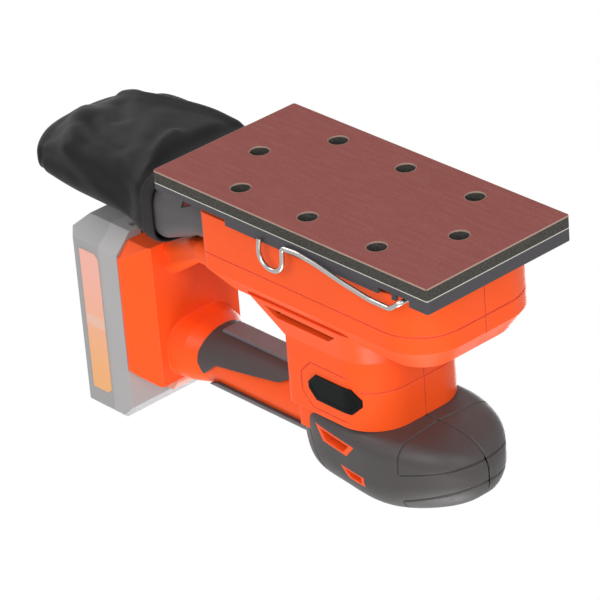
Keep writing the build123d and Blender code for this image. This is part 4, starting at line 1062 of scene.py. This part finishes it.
@dataclass
class DustBag:
    """Cloth bag behind the collar, with lengths in millimetres.

    Attributes:
        shop: Source of the materials.
        front: Y of the mouth.
        length: Length from the mouth to the tail seam.
        girth: Length of the cloth round the bag.
        rows: Rings of cloth along the bag.
        columns: Points round each ring.
        fine_steps: Steps in which a ring is measured.
        stations: Shares of the length at which the bag's section is given.
        half_widths: Half of its width there.
        bottoms: Its lowest level there.
        tops: Its highest level there.
        powers: Its corner power there, which is 2 for an oval and more for a squarer ring.
        even_share: Share of the length at which a ring's points lie at even distances.
        tail_share: Share of the length over which the tail's corners are drawn in.
        drawn_left: How far the left corner is drawn in.
        drawn_right: How far the right corner is drawn in.
        held_share: Share of the length that is held at the mouth while the cloth settles.
        slack: Share of spare cloth.
        reach: How far the cloth may move while it settles.
        pressure: Air pressure in the bag.
        mass: Mass of a point of cloth, in kilograms.
        quality: Sub-steps in a step of the settling.
        stretch_stiffness: Stiffness of the cloth along its threads.
        shear_stiffness: Stiffness across them.
        bend_stiffness: Stiffness against bending.
        weight_share: Share of its weight that the cloth feels.
        frames: Steps of the settling.
        easing: Rounds of averaging that take the fine ripples away.
        still_mouth: Share of the length at the mouth that keeps its sewn shape.
        mouth_ease: Share behind it over which the moves come in.
        tail_ease: Share before the tail over which they go out again.
        folds: Folds that the photograph shows.
        fold_turn: How quickly a fold comes in as the cloth turns to its side.
        fold_ease: Distance over which the folds fade at the hem and at the tail.
        seam_margin: Width at the tail seam without folds.
        cloth_thickness: Thickness of the cloth.
        hem_width: Width of the doubled cloth at the mouth.
        hem_proud: Height of that hem above the cloth.
        hem_girth: Length of the hem's cloth round the bag.
        hem_crown: Power that rounds the hem's top.
        hem_corner: Power that rounds its corners.
        hem_sides: Points round its section.
        stitch_pitch: Distance from stitch to stitch.
        stitch_half: Half of a stitch's length.
        stitch_radius: Radius of the thread.
        stitch_rows: Shares of the hem's width at which the two rows run.
        stitch_sides: Points round the thread and along it.
        stitch_aim: Small turn over which a stitch's direction is read, in radians.
        piping_radius: Radius of the piping in the tail seam.
        piping_proud: How far its middle stands out of the seam.
        piping_power: Power that closes its ends.
        piping_sides: Points round the piping.
    """

    shop: MaterialShop
    front: float = 105.1
    length: float = 105.0
    girth: float = 215.0
    rows: int = 72
    columns: int = 144
    fine_steps: int = 8000
    stations: tuple[float, ...] = (0.0, 0.12, 0.30, 0.60, 0.84, 0.93, 0.97, 1.0)
    half_widths: tuple[float, ...] = (39.8, 39.8, 40.0, 40.4, 40.0, 38.0, 35.5, 32.0)
    bottoms: tuple[float, ...] = (14.0, 14.0, 14.4, 14.6, 15.6, 17.8, 20.6, 26.0)
    tops: tuple[float, ...] = (49.8, 49.8, 49.8, 49.2, 47.2, 43.8, 39.8, 32.5)
    powers: tuple[float, ...] = (4.6, 4.4, 3.6, 3.2, 3.0, 2.8, 2.6, 2.4)
    even_share: float = 0.45
    tail_share: float = 0.20
    drawn_left: float = 9.0
    drawn_right: float = 6.0
    held_share: float = 0.10
    slack: float = 0.02
    reach: float = 4.5
    pressure: float = 1.6
    mass: float = 0.2
    quality: int = 6
    stretch_stiffness: float = 12.0
    shear_stiffness: float = 4.0
    bend_stiffness: float = 1.2
    weight_share: float = 0.15
    frames: int = 20
    easing: int = 10
    still_mouth: float = 0.08
    mouth_ease: float = 0.12
    tail_ease: float = 0.14
    fold_turn: float = 1.6
    fold_ease: float = 6.0
    seam_margin: float = 2.0
    cloth_thickness: float = 0.9
    hem_width: float = 8.0
    hem_proud: float = 0.5
    hem_girth: float = 200.0
    hem_crown: float = 0.5
    hem_corner: float = 0.35
    hem_sides: int = 16
    stitch_pitch: float = 3.0
    stitch_half: float = 1.08
    stitch_radius: float = 0.28
    stitch_rows: Pair = (0.22, 0.80)
    stitch_sides: int = 6
    stitch_aim: float = 0.002
    piping_radius: float = 1.0
    piping_proud: float = 0.4
    piping_power: int = 8
    piping_sides: int = 12
    folds: tuple[Fold, ...] = (
        Fold(((-19.5, 194.0), (-17.5, 176.0), (-22.5, 161.0), (-27.5, 142.0), (-31.5, 122.0)), 3.4, 2.6),
        Fold(((-27.5, 197.0), (-26.0, 178.0), (-30.0, 161.0), (-34.0, 142.0)), 3.6, -2.2),
        Fold(((4.5, 196.0), (18.0, 184.0), (34.0, 171.0)), 6.0, 2.8),
        Fold(((17.0, 178.0), (22.0, 161.0), (23.0, 145.0)), 7.0, -3.6),
        Fold(((-6.0, 180.0), (6.0, 166.0)), 5.5, -2.4),
        Fold(((1.5, 130.0), (12.5, 126.5), (26.0, 119.5), (37.0, 115.5)), 3.4, 2.2),
        Fold(((-8.0, 150.0), (10.0, 140.0)), 7.0, 1.4),
        Fold(((-25.0, 190.0), (-5.0, 170.0), (10.0, 140.0)), 5.0, 1.5, False),
        Fold(((25.0, 188.0), (12.0, 160.0)), 6.0, -1.8, False),
        Fold(((-30.0, 160.0), (-14.0, 146.0)), 6.0, -1.4, False),
        Fold(((24.0, 128.0), (-8.0, 120.0)), 3.2, 1.3, False),
    )

    def section(self, share: Points, grow: Points | float = 0.0) -> tuple[Points, ...]:
        """Section of the bag, drawn in straight steps from station to station.

        Args:
            share: Share of the length, 0 at the mouth and 1 at the tail.
            grow: Distance by which the section is made larger all round.

        Returns:
            Half width, lowest level, highest level and corner power.
        """
        rows = (self.half_widths, self.bottoms, self.tops, self.powers)
        half, low, high, power = (np.interp(share, self.stations, row) for row in rows)
        return half + grow, low - grow, high + grow, power

    def ring(
        self, half: Points, low: Points, high: Points, power: Points, turn: Points
    ) -> tuple[Points, Points]:
        """Superellipse in a box: each part is the sine's sign times the sine to 2 over the power.

        Args:
            half: Half of the box's width.
            low: Its lowest level.
            high: Its highest level.
            power: Corner power.
            turn: Turns round the ring, in radians.

        Returns:
            X and Z of the points.
        """
        bend = 2.0 / power
        x = half * np.sign(np.cos(turn)) * np.abs(np.cos(turn)) ** bend
        rise = np.sign(np.sin(turn)) * np.abs(np.sin(turn)) ** bend
        return x, (low + high) / 2 + (high - low) / 2 * rise

    def measured(self, section: tuple[Points, ...]) -> tuple[Points, Points]:
        """Measures a ring in fine steps.

        Args:
            section: Half width, lowest level, highest level and corner power of the ring.

        Returns:
            Length run up to each step, and the turn at it.
        """
        turn = np.linspace(0.0, FULL_TURN, self.fine_steps)
        x, z = self.ring(*section, turn)
        run = np.concatenate([[0.0], np.cumsum(np.hypot(np.diff(x), np.diff(z)))])
        return run, turn

    def sewn(self) -> tuple[Points, Points]:
        """The bag as it is sewn: superellipse rings along Y, with tail corners drawn in by the cube of X.

        Returns:
            Points in metres and their flat cloth coordinates in metres.
        """
        share = np.linspace(0.0, 1.0, self.rows)[:, None]
        around = np.arange(self.columns)[None, :] / self.columns
        run, fine = self.measured(self.section(np.array(self.even_share)))
        x, z = self.ring(*self.section(share), np.interp(around * run[-1], run, fine))
        tail = np.clip((share - 1.0 + self.tail_share) / self.tail_share, 0.0, 1.0) ** 2
        drawn = np.where(x > 0.0, self.drawn_left, self.drawn_right) * (np.abs(x) / self.half_widths[-1]) ** 3
        y = self.front + share * self.length - tail * drawn
        flat = np.stack(np.broadcast_arrays(around * self.girth, share * self.length), axis=-1)
        return np.stack([x, y, z], axis=-1).reshape(-1, 3) * MM, flat.reshape(-1, 2) * MM

    def settled(self, rest: Points) -> Points:
        """Lets the spare cloth settle under a little air pressure, held at its mouth and its tail seam.

        Args:
            rest: Points of the sewn bag.

        Returns:
            Its points after a move of at most the reach.
        """
        tube = mesh_piece("dust_bag_tube", rest, grid_faces(self.rows, self.columns))
        number = np.arange(len(rest))
        row = number // self.columns
        fixed = (row < self.held_share * self.rows) | (row == self.rows - 1)
        held = tube.vertex_groups.new(name="held")
        held.add(number[fixed].tolist(), 1.0, "REPLACE")
        cloth = tube.modifiers.new("cloth", "CLOTH")
        cloth.settings.vertex_group_mass = held.name
        cloth.settings.quality = self.quality
        cloth.settings.mass = self.mass
        cloth.settings.tension_stiffness = self.stretch_stiffness
        cloth.settings.compression_stiffness = self.stretch_stiffness
        cloth.settings.shear_stiffness = self.shear_stiffness
        cloth.settings.bending_stiffness = self.bend_stiffness
        cloth.settings.shrink_min = -self.slack
        cloth.settings.use_pressure = True
        cloth.settings.uniform_pressure_force = self.pressure
        cloth.settings.effector_weights.gravity = self.weight_share
        cloth.collision_settings.use_self_collision = False
        cloth.collision_settings.use_collision = False
        cloth.point_cache.frame_start = 1
        cloth.point_cache.frame_end = self.frames
        for step in range(1, self.frames + 1):
            bpy.context.scene.frame_set(step)
        shift = points_of(tube.evaluated_get(bpy.context.evaluated_depsgraph_get())) - rest
        bpy.data.meshes.remove(tube.data)
        bpy.context.scene.frame_set(1)
        far = np.linalg.norm(shift, axis=1, keepdims=True)
        shift = shift * np.minimum(1.0, self.reach * MM / np.maximum(far, 1e-9))
        LOG.info("bag settled, largest move %.1f mm", float(far.max()) / MM)
        return rest + self.eased(shift.reshape(self.rows, self.columns, 3)).reshape(-1, 3)

    def eased(self, shift: Points) -> Points:
        """Moves with fine ripples averaged away, which fade to none at the mouth and the tail seam.

        Args:
            shift: Moves by ring, point and axis.

        Returns:
            The eased moves.
        """
        for _ in range(self.easing):
            ends = np.concatenate([shift[:1], shift, shift[-1:]])
            shift = (ends[:-2] + 2.0 * shift + ends[2:]) / 4
            shift = (np.roll(shift, 1, axis=1) + 2.0 * shift + np.roll(shift, -1, axis=1)) / 4
        share = np.linspace(0.0, 1.0, self.rows)[:, None, None]
        free = np.clip((share - self.still_mouth) / self.mouth_ease, 0.0, 1.0)
        free = free * np.clip((1.0 - share) / self.tail_ease, 0.0, 1.0)
        return shift * free**2 * (3.0 - 2.0 * free)

    def tail_faces(self) -> NDArray[np.int64]:
        """Quads that sew the last ring shut, each from its upper half across to its lower half.

        Returns:
            One row of four point numbers to a quad.
        """
        upper = np.arange(1, self.columns // 2 - 1)
        lower = self.columns - upper
        return (self.rows - 1) * self.columns + np.stack([upper, upper + 1, lower - 1, lower], axis=-1)

    def press_folds(self, bag: Piece) -> None:
        """Adds the folds: each moves the cloth along its normal by height times exp(-(distance / width)^2).

        Args:
            bag: The bag, whose points are moved.
        """
        points = points_of(bag)
        normals = normals_of(bag)
        spots = points[:, :2] / MM
        shift = np.zeros(len(points))
        for fold in self.folds:
            turn = -self.fold_turn if fold.below else self.fold_turn
            side = np.clip(turn * normals[:, 2], 0.0, 1.0)
            shift += side * fold.height * np.exp(-((fold.distance(spots) / fold.width) ** 2))
        behind_hem = spots[:, 1] - self.front - self.hem_width
        before_seam = self.front + self.length - self.seam_margin - spots[:, 1]
        free = np.clip(np.stack([behind_hem, before_seam]) / self.fold_ease, 0.0, 1.0).prod(axis=0)
        put_points(bag, points + normals * (shift * free)[:, None] * MM)

    def build_bag(self) -> Piece:
        """Sews the bag, settles its cloth, presses the folds in and gives the cloth a thickness.

        Returns:
            The bag, which stands for its solid.
        """
        points, flat = self.sewn()
        points = self.settled(points)
        faces = np.vstack([grid_faces(self.rows, self.columns), self.tail_faces()])
        bag = mesh_piece("dust_bag_cloth", points, faces)
        face_outwards(bag)
        self.press_folds(bag)
        set_uv(bag, flat)
        thick = bag.modifiers.new("thickness", "SOLIDIFY")
        thick.thickness = self.cloth_thickness * MM
        thick.offset = 0.0
        soft = bag.modifiers.new("soft", "SUBSURF")
        soft.levels = 1
        soft.render_levels = 1
        dress(bag, self.shop.get(Palette.cloth), "dust_box")
        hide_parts("dust_bag")
        return bag

    def build_hem(self) -> None:
        """Doubled cloth round the mouth: a flat rounded section carried round the bag's first rings."""
        turn = np.linspace(0.0, FULL_TURN, 2 * self.columns, endpoint=False)[:, None]
        around = np.linspace(0.0, FULL_TURN, self.hem_sides, endpoint=False)[None, :]
        lift = self.hem_proud * np.sign(np.sin(around)) * np.abs(np.sin(around)) ** self.hem_crown
        along = np.sign(np.cos(around)) * np.abs(np.cos(around)) ** self.hem_corner * self.hem_width / 2
        middle = self.hem_width / 2
        section = self.section(np.array(middle / self.length), lift + self.cloth_thickness / 2)
        x, z = self.ring(*section, turn)
        y = np.broadcast_to(self.front + middle + along, x.shape)
        points = np.stack([x, y, z], axis=-1).reshape(-1, 3) * MM
        faces = grid_faces(len(turn) + 1, self.hem_sides) % len(points)
        hem = mesh_piece("dust_bag_hem", points, faces)
        flat = np.stack(np.broadcast_arrays(turn / FULL_TURN * self.hem_girth, along + lift), axis=-1)
        set_uv(hem, flat.reshape(-1, 2) * MM)
        face_outwards(hem)
        dress(hem, self.shop.get(Palette.piping), "dust_box")

    def build_stitches(self) -> None:
        """Two rows of stitches on the hem: short rounded threads laid along the ring at even steps."""
        grow = self.hem_proud + self.cloth_thickness / 2
        section = self.section(np.array(self.hem_width / 2 / self.length), grow)
        run, fine = self.measured(section)
        count = int(run[-1] / self.stitch_pitch)
        spot = np.interp((np.arange(count) + 0.5) * run[-1] / count, run, fine)
        here = np.stack(self.ring(*section, spot), axis=-1)
        lead = unit(np.stack(self.ring(*section, spot + self.stitch_aim), axis=-1) - here)
        out = np.stack([lead[:, 1], -lead[:, 0]], axis=-1)
        pole = np.linspace(0.0, np.pi, self.stitch_sides)[:, None]
        around = np.linspace(0.0, FULL_TURN, self.stitch_sides, endpoint=False)[None, :]
        reach = np.repeat(self.stitch_half * np.cos(pole), self.stitch_sides)
        lift = (self.stitch_radius * np.sin(pole) * np.cos(around)).ravel()
        wide = (self.stitch_radius * np.sin(pole) * np.sin(around)).ravel()
        flat = here[:, None] + reach[:, None] * lead[:, None] + lift[:, None] * out[:, None]
        rows = self.front + self.hem_width * np.array(self.stitch_rows)[:, None, None] + wide
        x, y, z = np.broadcast_arrays(flat[..., 0], rows, flat[..., 1])
        points = np.stack([x, y, z], axis=-1).reshape(-1, 3) * MM
        first = np.arange(x[..., 0].size)[:, None, None] * len(reach)
        faces = (first + grid_faces(self.stitch_sides, self.stitch_sides)).reshape(-1, 4)
        thread = mesh_piece("dust_bag_stitches", points, faces)
        face_outwards(thread)
        dress(thread, self.shop.get(Palette.thread), "dust_box")

    def build_piping(self, bag: Piece) -> None:
        """Piping in the tail seam: a circle carried along the last ring's middle, closed at its ends.

        Args:
            bag: The finished bag, whose last ring gives the path.
        """
        half = np.arange(self.columns // 2 + 1)
        ring = points_of(bag)[(self.rows - 1) * self.columns : self.rows * self.columns]
        path = (ring[half] + ring[-half % self.columns]) / 2
        path[:, 1] += self.piping_proud * MM
        lead = unit(np.gradient(path, axis=0))
        side = unit(np.cross(lead, (0.0, 0.0, 1.0)))
        rise = np.cross(side, lead)
        part = np.linspace(-1.0, 1.0, len(half))
        radius = self.piping_radius * MM * np.sqrt(np.clip(1.0 - part**self.piping_power, 1e-4, 1.0))
        around = np.linspace(0.0, FULL_TURN, self.piping_sides, endpoint=False)[None, :, None]
        circle = side[:, None] * np.cos(around) + rise[:, None] * np.sin(around)
        points = (path[:, None] + radius[:, None, None] * circle).reshape(-1, 3)
        piping = mesh_piece("dust_bag_piping", points, grid_faces(len(half), self.piping_sides))
        run = np.cumsum(np.linalg.norm(np.diff(path, axis=0, prepend=path[:1]), axis=1))
        round_it = around[..., 0] * self.piping_radius * MM
        set_uv(piping, np.stack(np.broadcast_arrays(round_it, run[:, None]), axis=-1).reshape(-1, 2))
        face_outwards(piping)
        dress(piping, self.shop.get(Palette.piping), "dust_box")

    def build(self) -> None:
        """Builds the bag, its hem, the stitches and the piping."""
        bag = self.build_bag()
        self.build_hem()
        self.build_stitches()
        self.build_piping(bag)


@dataclass(frozen=True)
class Groove:
    """Fine groove along a plane, in millimetres.

    Attributes:
        point: Point on the plane.
        across: Direction across the groove.
        limit_point: Point on the plane that ends it.
        limit: Direction in which the groove goes on from there.
    """

    point: Triple
    across: Triple
    limit_point: Triple
    limit: Triple


@dataclass
class PalmGrips:
    """Rubber of the palm grip with the fine grooves that part its panels, in millimetres.

    Attributes:
        shop: Source of the materials.
        depth: Depth of a groove.
        half_width: Half of a groove's width.
        core: Point inside the grip, away from which its outer skin faces.
        shoulder: Point on the upright grooves.
        shoulder_lean: Lean of the uprights to each side.
        belt: Point on the belt's groove.
        belt_up: Direction up across the belt.
        crown: Point on the crown's groove.
        crown_up: Direction up across the crown.
        rear: Point on the rear groove.
        rear_up: Direction up across it.
        slices: Cuts beside a groove, as shares of its half width.
        weld: Distance under which points are joined before the cuts.
        touch: Distance at which a point counts as on a cut.
        sharp_angle: Angle of an edge that stays sharp, in degrees.
    """

    shop: MaterialShop
    depth: float = 0.9
    half_width: float = 0.7
    core: Triple = (0.0, -45.0, 122.0)
    shoulder: Triple = (0.0, -46.5, 0.0)
    shoulder_lean: float = 0.1
    belt: Triple = (0.0, -77.0, 116.5)
    belt_up: Triple = (0.0, -0.2, 1.0)
    crown: Triple = (0.0, -79.0, 127.5)
    crown_up: Triple = (0.0, -0.33, 1.0)
    rear: Triple = (0.0, 6.0, 133.6)
    rear_up: Triple = (0.0, 1.6, 1.0)
    slices: tuple[float, ...] = (-1.5, -1.0, -0.55, 0.0, 0.55, 1.0, 1.5)
    weld: float = 0.02
    touch: float = 0.001
    sharp_angle: float = 32.0

    def grooves(self, side: Side) -> list[Groove]:
        """The panel grooves of one half: lower upright, belt, crown, upper upright, parting and rear line.

        Args:
            side: Side of the half.

        Returns:
            The grooves.
        """
        lean = self.shoulder_lean * side.value
        rearward = (lean, 1.0, 0.0)
        forward = (-lean, -1.0, 0.0)
        belt_down = tuple(np.negative(self.belt_up).tolist())
        origin = (0.0, 0.0, 0.0)
        up = (0.0, 0.0, 1.0)
        return [
            Groove(self.shoulder, rearward, self.belt, belt_down),
            Groove(self.belt, self.belt_up, self.shoulder, forward),
            Groove(self.crown, self.crown_up, self.shoulder, forward),
            Groove(self.shoulder, rearward, self.crown, self.crown_up),
            Groove(origin, (1.0, 0.0, 0.0), origin, up),
            Groove(self.rear, self.rear_up, origin, up),
        ]

    def slice_along(self, grip: Piece, grooves: list[Groove]) -> None:
        """Cuts the mesh along each groove's plane and beside it, so that the groove has points to sink.

        Args:
            grip: Copy of the grip half.
            grooves: Its grooves.
        """
        build = bmesh.new()
        build.from_mesh(grip.data)
        bmesh.ops.remove_doubles(build, verts=build.verts, dist=self.weld * MM)
        for groove in grooves:
            across = Vector(groove.across).normalized()
            for share in self.slices:
                place = (Vector(groove.point) + across * share * self.half_width) * MM
                whole = build.verts[:] + build.edges[:] + build.faces[:]
                bmesh.ops.bisect_plane(
                    build, geom=whole, dist=self.touch * MM, plane_co=place, plane_no=across
                )
        bmesh.ops.triangulate(build, faces=build.faces)
        build.to_mesh(grip.data)
        build.free()
        grip.data.update()

    def sink(self, grip: Piece, grooves: list[Groove]) -> None:
        """Sinks the outer skin by depth times (1 - (distance / half width)^2)^2 beside each plane.

        Args:
            grip: Sliced copy of the grip half.
            grooves: Its grooves.
        """
        points = points_of(grip)
        place = points / MM
        normals = normals_of(grip)
        normals[:, 0] *= np.clip(np.abs(place[:, 0]) / self.half_width, 0.0, 1.0)
        normals = unit(normals)
        drop = np.zeros(len(points))
        for groove in grooves:
            away = (place - groove.point) @ unit(np.array(groove.across)) / self.half_width
            inside = (place - groove.limit_point) @ unit(np.array(groove.limit)) / self.half_width
            shape = np.clip(inside + 0.5, 0.0, 1.0) * np.clip(1.0 - away**2, 0.0, 1.0) ** 2
            drop = np.maximum(drop, shape)
        drop *= np.sum(normals * (place - self.core), axis=1) > 0.0
        put_points(grip, points - normals * (self.depth * drop)[:, None] * MM)

    def build(self) -> None:
        """Cuts the grooves in a copy of each half and puts it in the half's place."""
        for side in Side:
            node = f"palm_grip_{side.name.lower()}"
            grip = copy_of(node, f"{node}_rubber")
            grooves = self.grooves(side)
            self.slice_along(grip, grooves)
            self.sink(grip, grooves)
            dress(grip, self.shop.get(Palette.grip), "tool")
            grip.data.set_sharp_from_angle(angle=np.radians(self.sharp_angle))
            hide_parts(node)
            LOG.info("%s has %d faces", grip.name, len(grip.data.polygons))


@dataclass
class TriggerSpring:
    """Coil between trigger and switch.

    Attributes:
        shop: Source of the materials.
        travel: Stroke of the trigger, in millimetres; not used.
    """

    shop: MaterialShop
    travel: float = 3.0

    def build(self) -> None:
        """Puts a copy of the coil in its place."""
        coil = copy_of("trigger_spring", "trigger_coil")
        dress(coil, self.shop.get(Palette.steel), "tool")
        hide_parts("trigger_spring")
        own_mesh(coil)


@dataclass
class CollarMark:
    """Coloured insert in the collar's three-cornered recess, in millimetres.

    Attributes:
        shop: Source of the materials.
        rear: Y of the recess's flat end.
        length: Length of the recess.
        half: Half of its height.
        level: Z of its middle.
        depth: Depth of the recess.
        fill: Share of the recess that the insert fills.
        height: Height of the insert.
        rings: Size of the insert's rings, from its foot to its top.
        lifts: Shares of its height at those rings.
        side_steps: Points along each side of a ring.
        front_half: Half width of the collar at its front.
        mouth_half: Half width of the collar at its mouth.
        straight: Y at which the collar starts to widen.
        mouth: Y of the mouth.
        corner: Radius of the collar's lower corner.
        corner_level: Z at which that corner starts.
    """

    shop: MaterialShop
    rear: float = 89.1
    length: float = 6.4
    half: float = 2.6
    level: float = 21.4
    depth: float = 1.0
    fill: float = 0.88
    height: float = 0.5
    rings: tuple[float, ...] = (1.0, 1.0, 0.86, 0.5, 0.02)
    lifts: tuple[float, ...] = (-0.2, 0.7, 1.0, 1.04, 1.05)
    side_steps: int = 8
    front_half: float = 34.8
    mouth_half: float = 38.0
    straight: float = 84.7
    mouth: float = 105.1
    corner: float = 11.4
    corner_level: float = 27.2

    def collar_side(self, y: Points, z: Points) -> Points:
        """X of the collar's left side, which widens evenly to its mouth and has an arc as its lower corner.

        Args:
            y: Places along the collar.
            z: Pair of those places.

        Returns:
            X of the side there.
        """
        part = np.clip((y - self.straight) / (self.mouth - self.straight), 0.0, 1.0)
        half = self.front_half + part * (self.mouth_half - self.front_half)
        drop = np.clip(self.corner_level - z, 0.0, self.corner)
        return half - self.corner + np.sqrt(self.corner**2 - drop**2)

    def build(self) -> None:
        """Rings of a triangle, drawn in towards a low crowned top and laid along the collar's side."""
        corners = np.array(
            [[self.rear, -self.half], [self.rear, self.half], [self.rear - self.length, 0.0]]
        )
        share = np.linspace(0.0, 1.0, self.side_steps, endpoint=False)[None, :, None]
        edge = corners[:, None] + share * (np.roll(corners, -1, axis=0) - corners)[:, None]
        outline = edge.reshape(1, -1, 2)
        middle = corners.mean(axis=0)
        flat = middle + self.fill * np.array(self.rings)[:, None, None] * (outline - middle)
        y = flat[..., 0]
        z = self.level + flat[..., 1]
        x = self.collar_side(y, z) - self.depth + self.height * np.array(self.lifts)[:, None]
        points = np.stack([x, y, z], axis=-1).reshape(-1, 3) * MM
        mark = mesh_piece("collar_mark", points, grid_faces(len(self.rings), outline.shape[1]))
        face_outwards(mark)
        dress(mark, self.shop.get(Palette.mark), "dust_box")


@dataclass
class PhotoCamera:
    """Camera at the photograph's viewing angle, below and to the front left of the pad.

    Attributes:
        place: Place of the camera, in metres.
        right: Direction to the right of the picture.
        up: Direction to its top.
        back: Direction from the sander to the camera.
        lens: Focal length, in millimetres.
        sensor: Width of the sensor, in millimetres.
        far: Distance to which the camera sees, in metres.
    """

    place: Triple = (1.11683, -1.24717, -0.86027)
    right: Triple = (-0.7289, -0.6808, 0.0718)
    up: Triple = (-0.3744, 0.3086, -0.8744)
    back: Triple = (0.5731, -0.6643, -0.4799)
    lens: float = 240.0
    sensor: float = 36.0
    far: float = 20.0

    def build(self) -> None:
        """Makes the camera the scene's own."""
        data = bpy.data.cameras.new("photo_camera")
        data.lens = self.lens
        data.sensor_width = self.sensor
        data.clip_end = self.far
        camera = bpy.data.objects.new("photo_camera", data)
        bpy.context.scene.collection.objects.link(camera)
        columns = [Vector(v).normalized() for v in (self.right, self.up, self.back)]
        turn = Matrix(columns).transposed().to_4x4()
        camera.matrix_world = Matrix.Translation(Vector(self.place)) @ turn
        bpy.context.scene.camera = camera


@dataclass(frozen=True)
class Lamp:
    """One soft round lamp, aimed at the middle of the sander.

    Attributes:
        name: Name of the lamp.
        place: Its place, in metres.
        size: Its width, in metres.
        power: Its power, in watts.
    """

    name: str
    place: Triple
    size: float
    power: float


@dataclass
class Studio:
    """Plain pale floor, white surroundings and soft lamps, in metres.

    Attributes:
        floor_drop: Depth of the floor under the sanding face.
        floor_half: Half of the floor's width.
        floor_fade: Distances at which the floor starts to fade, and is gone.
        floor_shade: Shade of the floor.
        ambient: Strength of the plain soft light.
        middle: Point that the lamps are aimed at.
        lamps: The lamps.
    """

    floor_drop: float = 0.0006
    floor_half: float = 6.0
    floor_fade: Pair = (0.25, 0.85)
    floor_shade: float = 0.86
    ambient: float = 0.40
    middle: Triple = (0.0, 0.03, 0.07)
    lamps: tuple[Lamp, ...] = (
        Lamp("lamp_left", (1.46, -0.55, -0.91), 1.2, 19.0),
        Lamp("lamp_front", (0.20, -1.76, -0.70), 1.2, 13.0),
        Lamp("lamp_tail", (0.27, 1.35, -1.17), 0.9, 12.0),
        Lamp("lamp_overhead", (0.36, -0.54, 1.75), 1.3, 28.0),
        Lamp("lamp_rear", (-1.26, 1.08, 0.80), 1.2, 17.0),
    )

    def build_floor(self) -> None:
        """Floor that shows, with its shadows, only where the camera sees its upper side and not far away."""
        square = np.array([[-1.0, -1.0], [1.0, -1.0], [1.0, 1.0], [-1.0, 1.0]]) * self.floor_half
        points = np.column_stack([square, np.full(4, -self.floor_drop)])
        floor = mesh_piece("floor", points, np.array([[0, 1, 2, 3]]))
        material = bpy.data.materials.new("pale_floor")
        material.use_nodes = True
        material.node_tree.nodes.clear()
        wires = Wires(material.node_tree)
        paint = wires.node("BsdfDiffuse")
        paint.inputs["Color"].default_value = (self.floor_shade, self.floor_shade, self.floor_shade, 1.0)
        clear = wires.node("BsdfTransparent")
        path = wires.node("LightPath")
        facing = wires.node("NewGeometry").outputs["Backfacing"]
        seen = wires.math("MULTIPLY", path.outputs["Is Camera Ray"], wires.math("SUBTRACT", 1.0, facing))
        away = wires.node("VectorMath", operation="LENGTH")
        wires.feed(away.inputs[0], wires.place())
        near = wires.span(away.outputs["Value"], self.floor_fade, (1.0, 0.0))
        blend = wires.node("MixShader")
        wires.feed(blend.inputs[0], wires.math("MULTIPLY", seen, near))
        wires.feed(blend.inputs[1], clear.outputs[0])
        wires.feed(blend.inputs[2], paint.outputs[0])
        out = wires.node("OutputMaterial")
        wires.feed(out.inputs["Surface"], blend.outputs[0])
        floor.data.materials.append(material)

    def build_world(self) -> None:
        """White where the camera, gloss or glass sees it, and a plain soft light elsewhere."""
        world = bpy.data.worlds.new("white_surroundings")
        bpy.context.scene.world = world
        world.use_nodes = True
        wires = Wires(world.node_tree)
        shade = world.node_tree.nodes["Background"]
        shade.inputs["Color"].default_value = (1.0, 1.0, 1.0, 1.0)
        path = wires.node("LightPath")
        seen = wires.math("MAXIMUM", path.outputs["Is Camera Ray"], path.outputs["Is Glossy Ray"])
        seen = wires.math("MAXIMUM", seen, path.outputs["Is Transmission Ray"])
        wires.feed(shade.inputs["Strength"], wires.span(seen, (0.0, 1.0), (self.ambient, 1.0)))

    def build_lamps(self) -> None:
        """Area lamps that the camera doesn't see."""
        for lamp in self.lamps:
            data = bpy.data.lights.new(lamp.name, "AREA")
            data.shape = "DISK"
            data.size = lamp.size
            data.energy = lamp.power
            light = bpy.data.objects.new(lamp.name, data)
            bpy.context.scene.collection.objects.link(light)
            light.location = lamp.place
            aim = Vector(self.middle) - Vector(lamp.place)
            light.rotation_euler = aim.to_track_quat("-Z", "Y").to_euler()
            light.visible_camera = False

    def build(self) -> None:
        """Builds the floor, the surroundings and the lamps."""
        bpy.context.scene.view_settings.view_transform = "Standard"
        self.build_floor()
        self.build_world()
        self.build_lamps()


def main() -> None:
    """Builds the studio, dresses the solids and adds the pieces that the solids leave out."""
    logging.basicConfig(level=logging.INFO, format="%(name)s: %(message)s")
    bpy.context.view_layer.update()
    PhotoCamera().build()
    Studio().build()
    shop = MaterialShop()
    DressedFrame(shop).build()
    DustBag(shop).build()
    PalmGrips(shop).build()
    TriggerSpring(shop).build()
    CollarMark(shop).build()


if __name__ == "__main__":
    main()
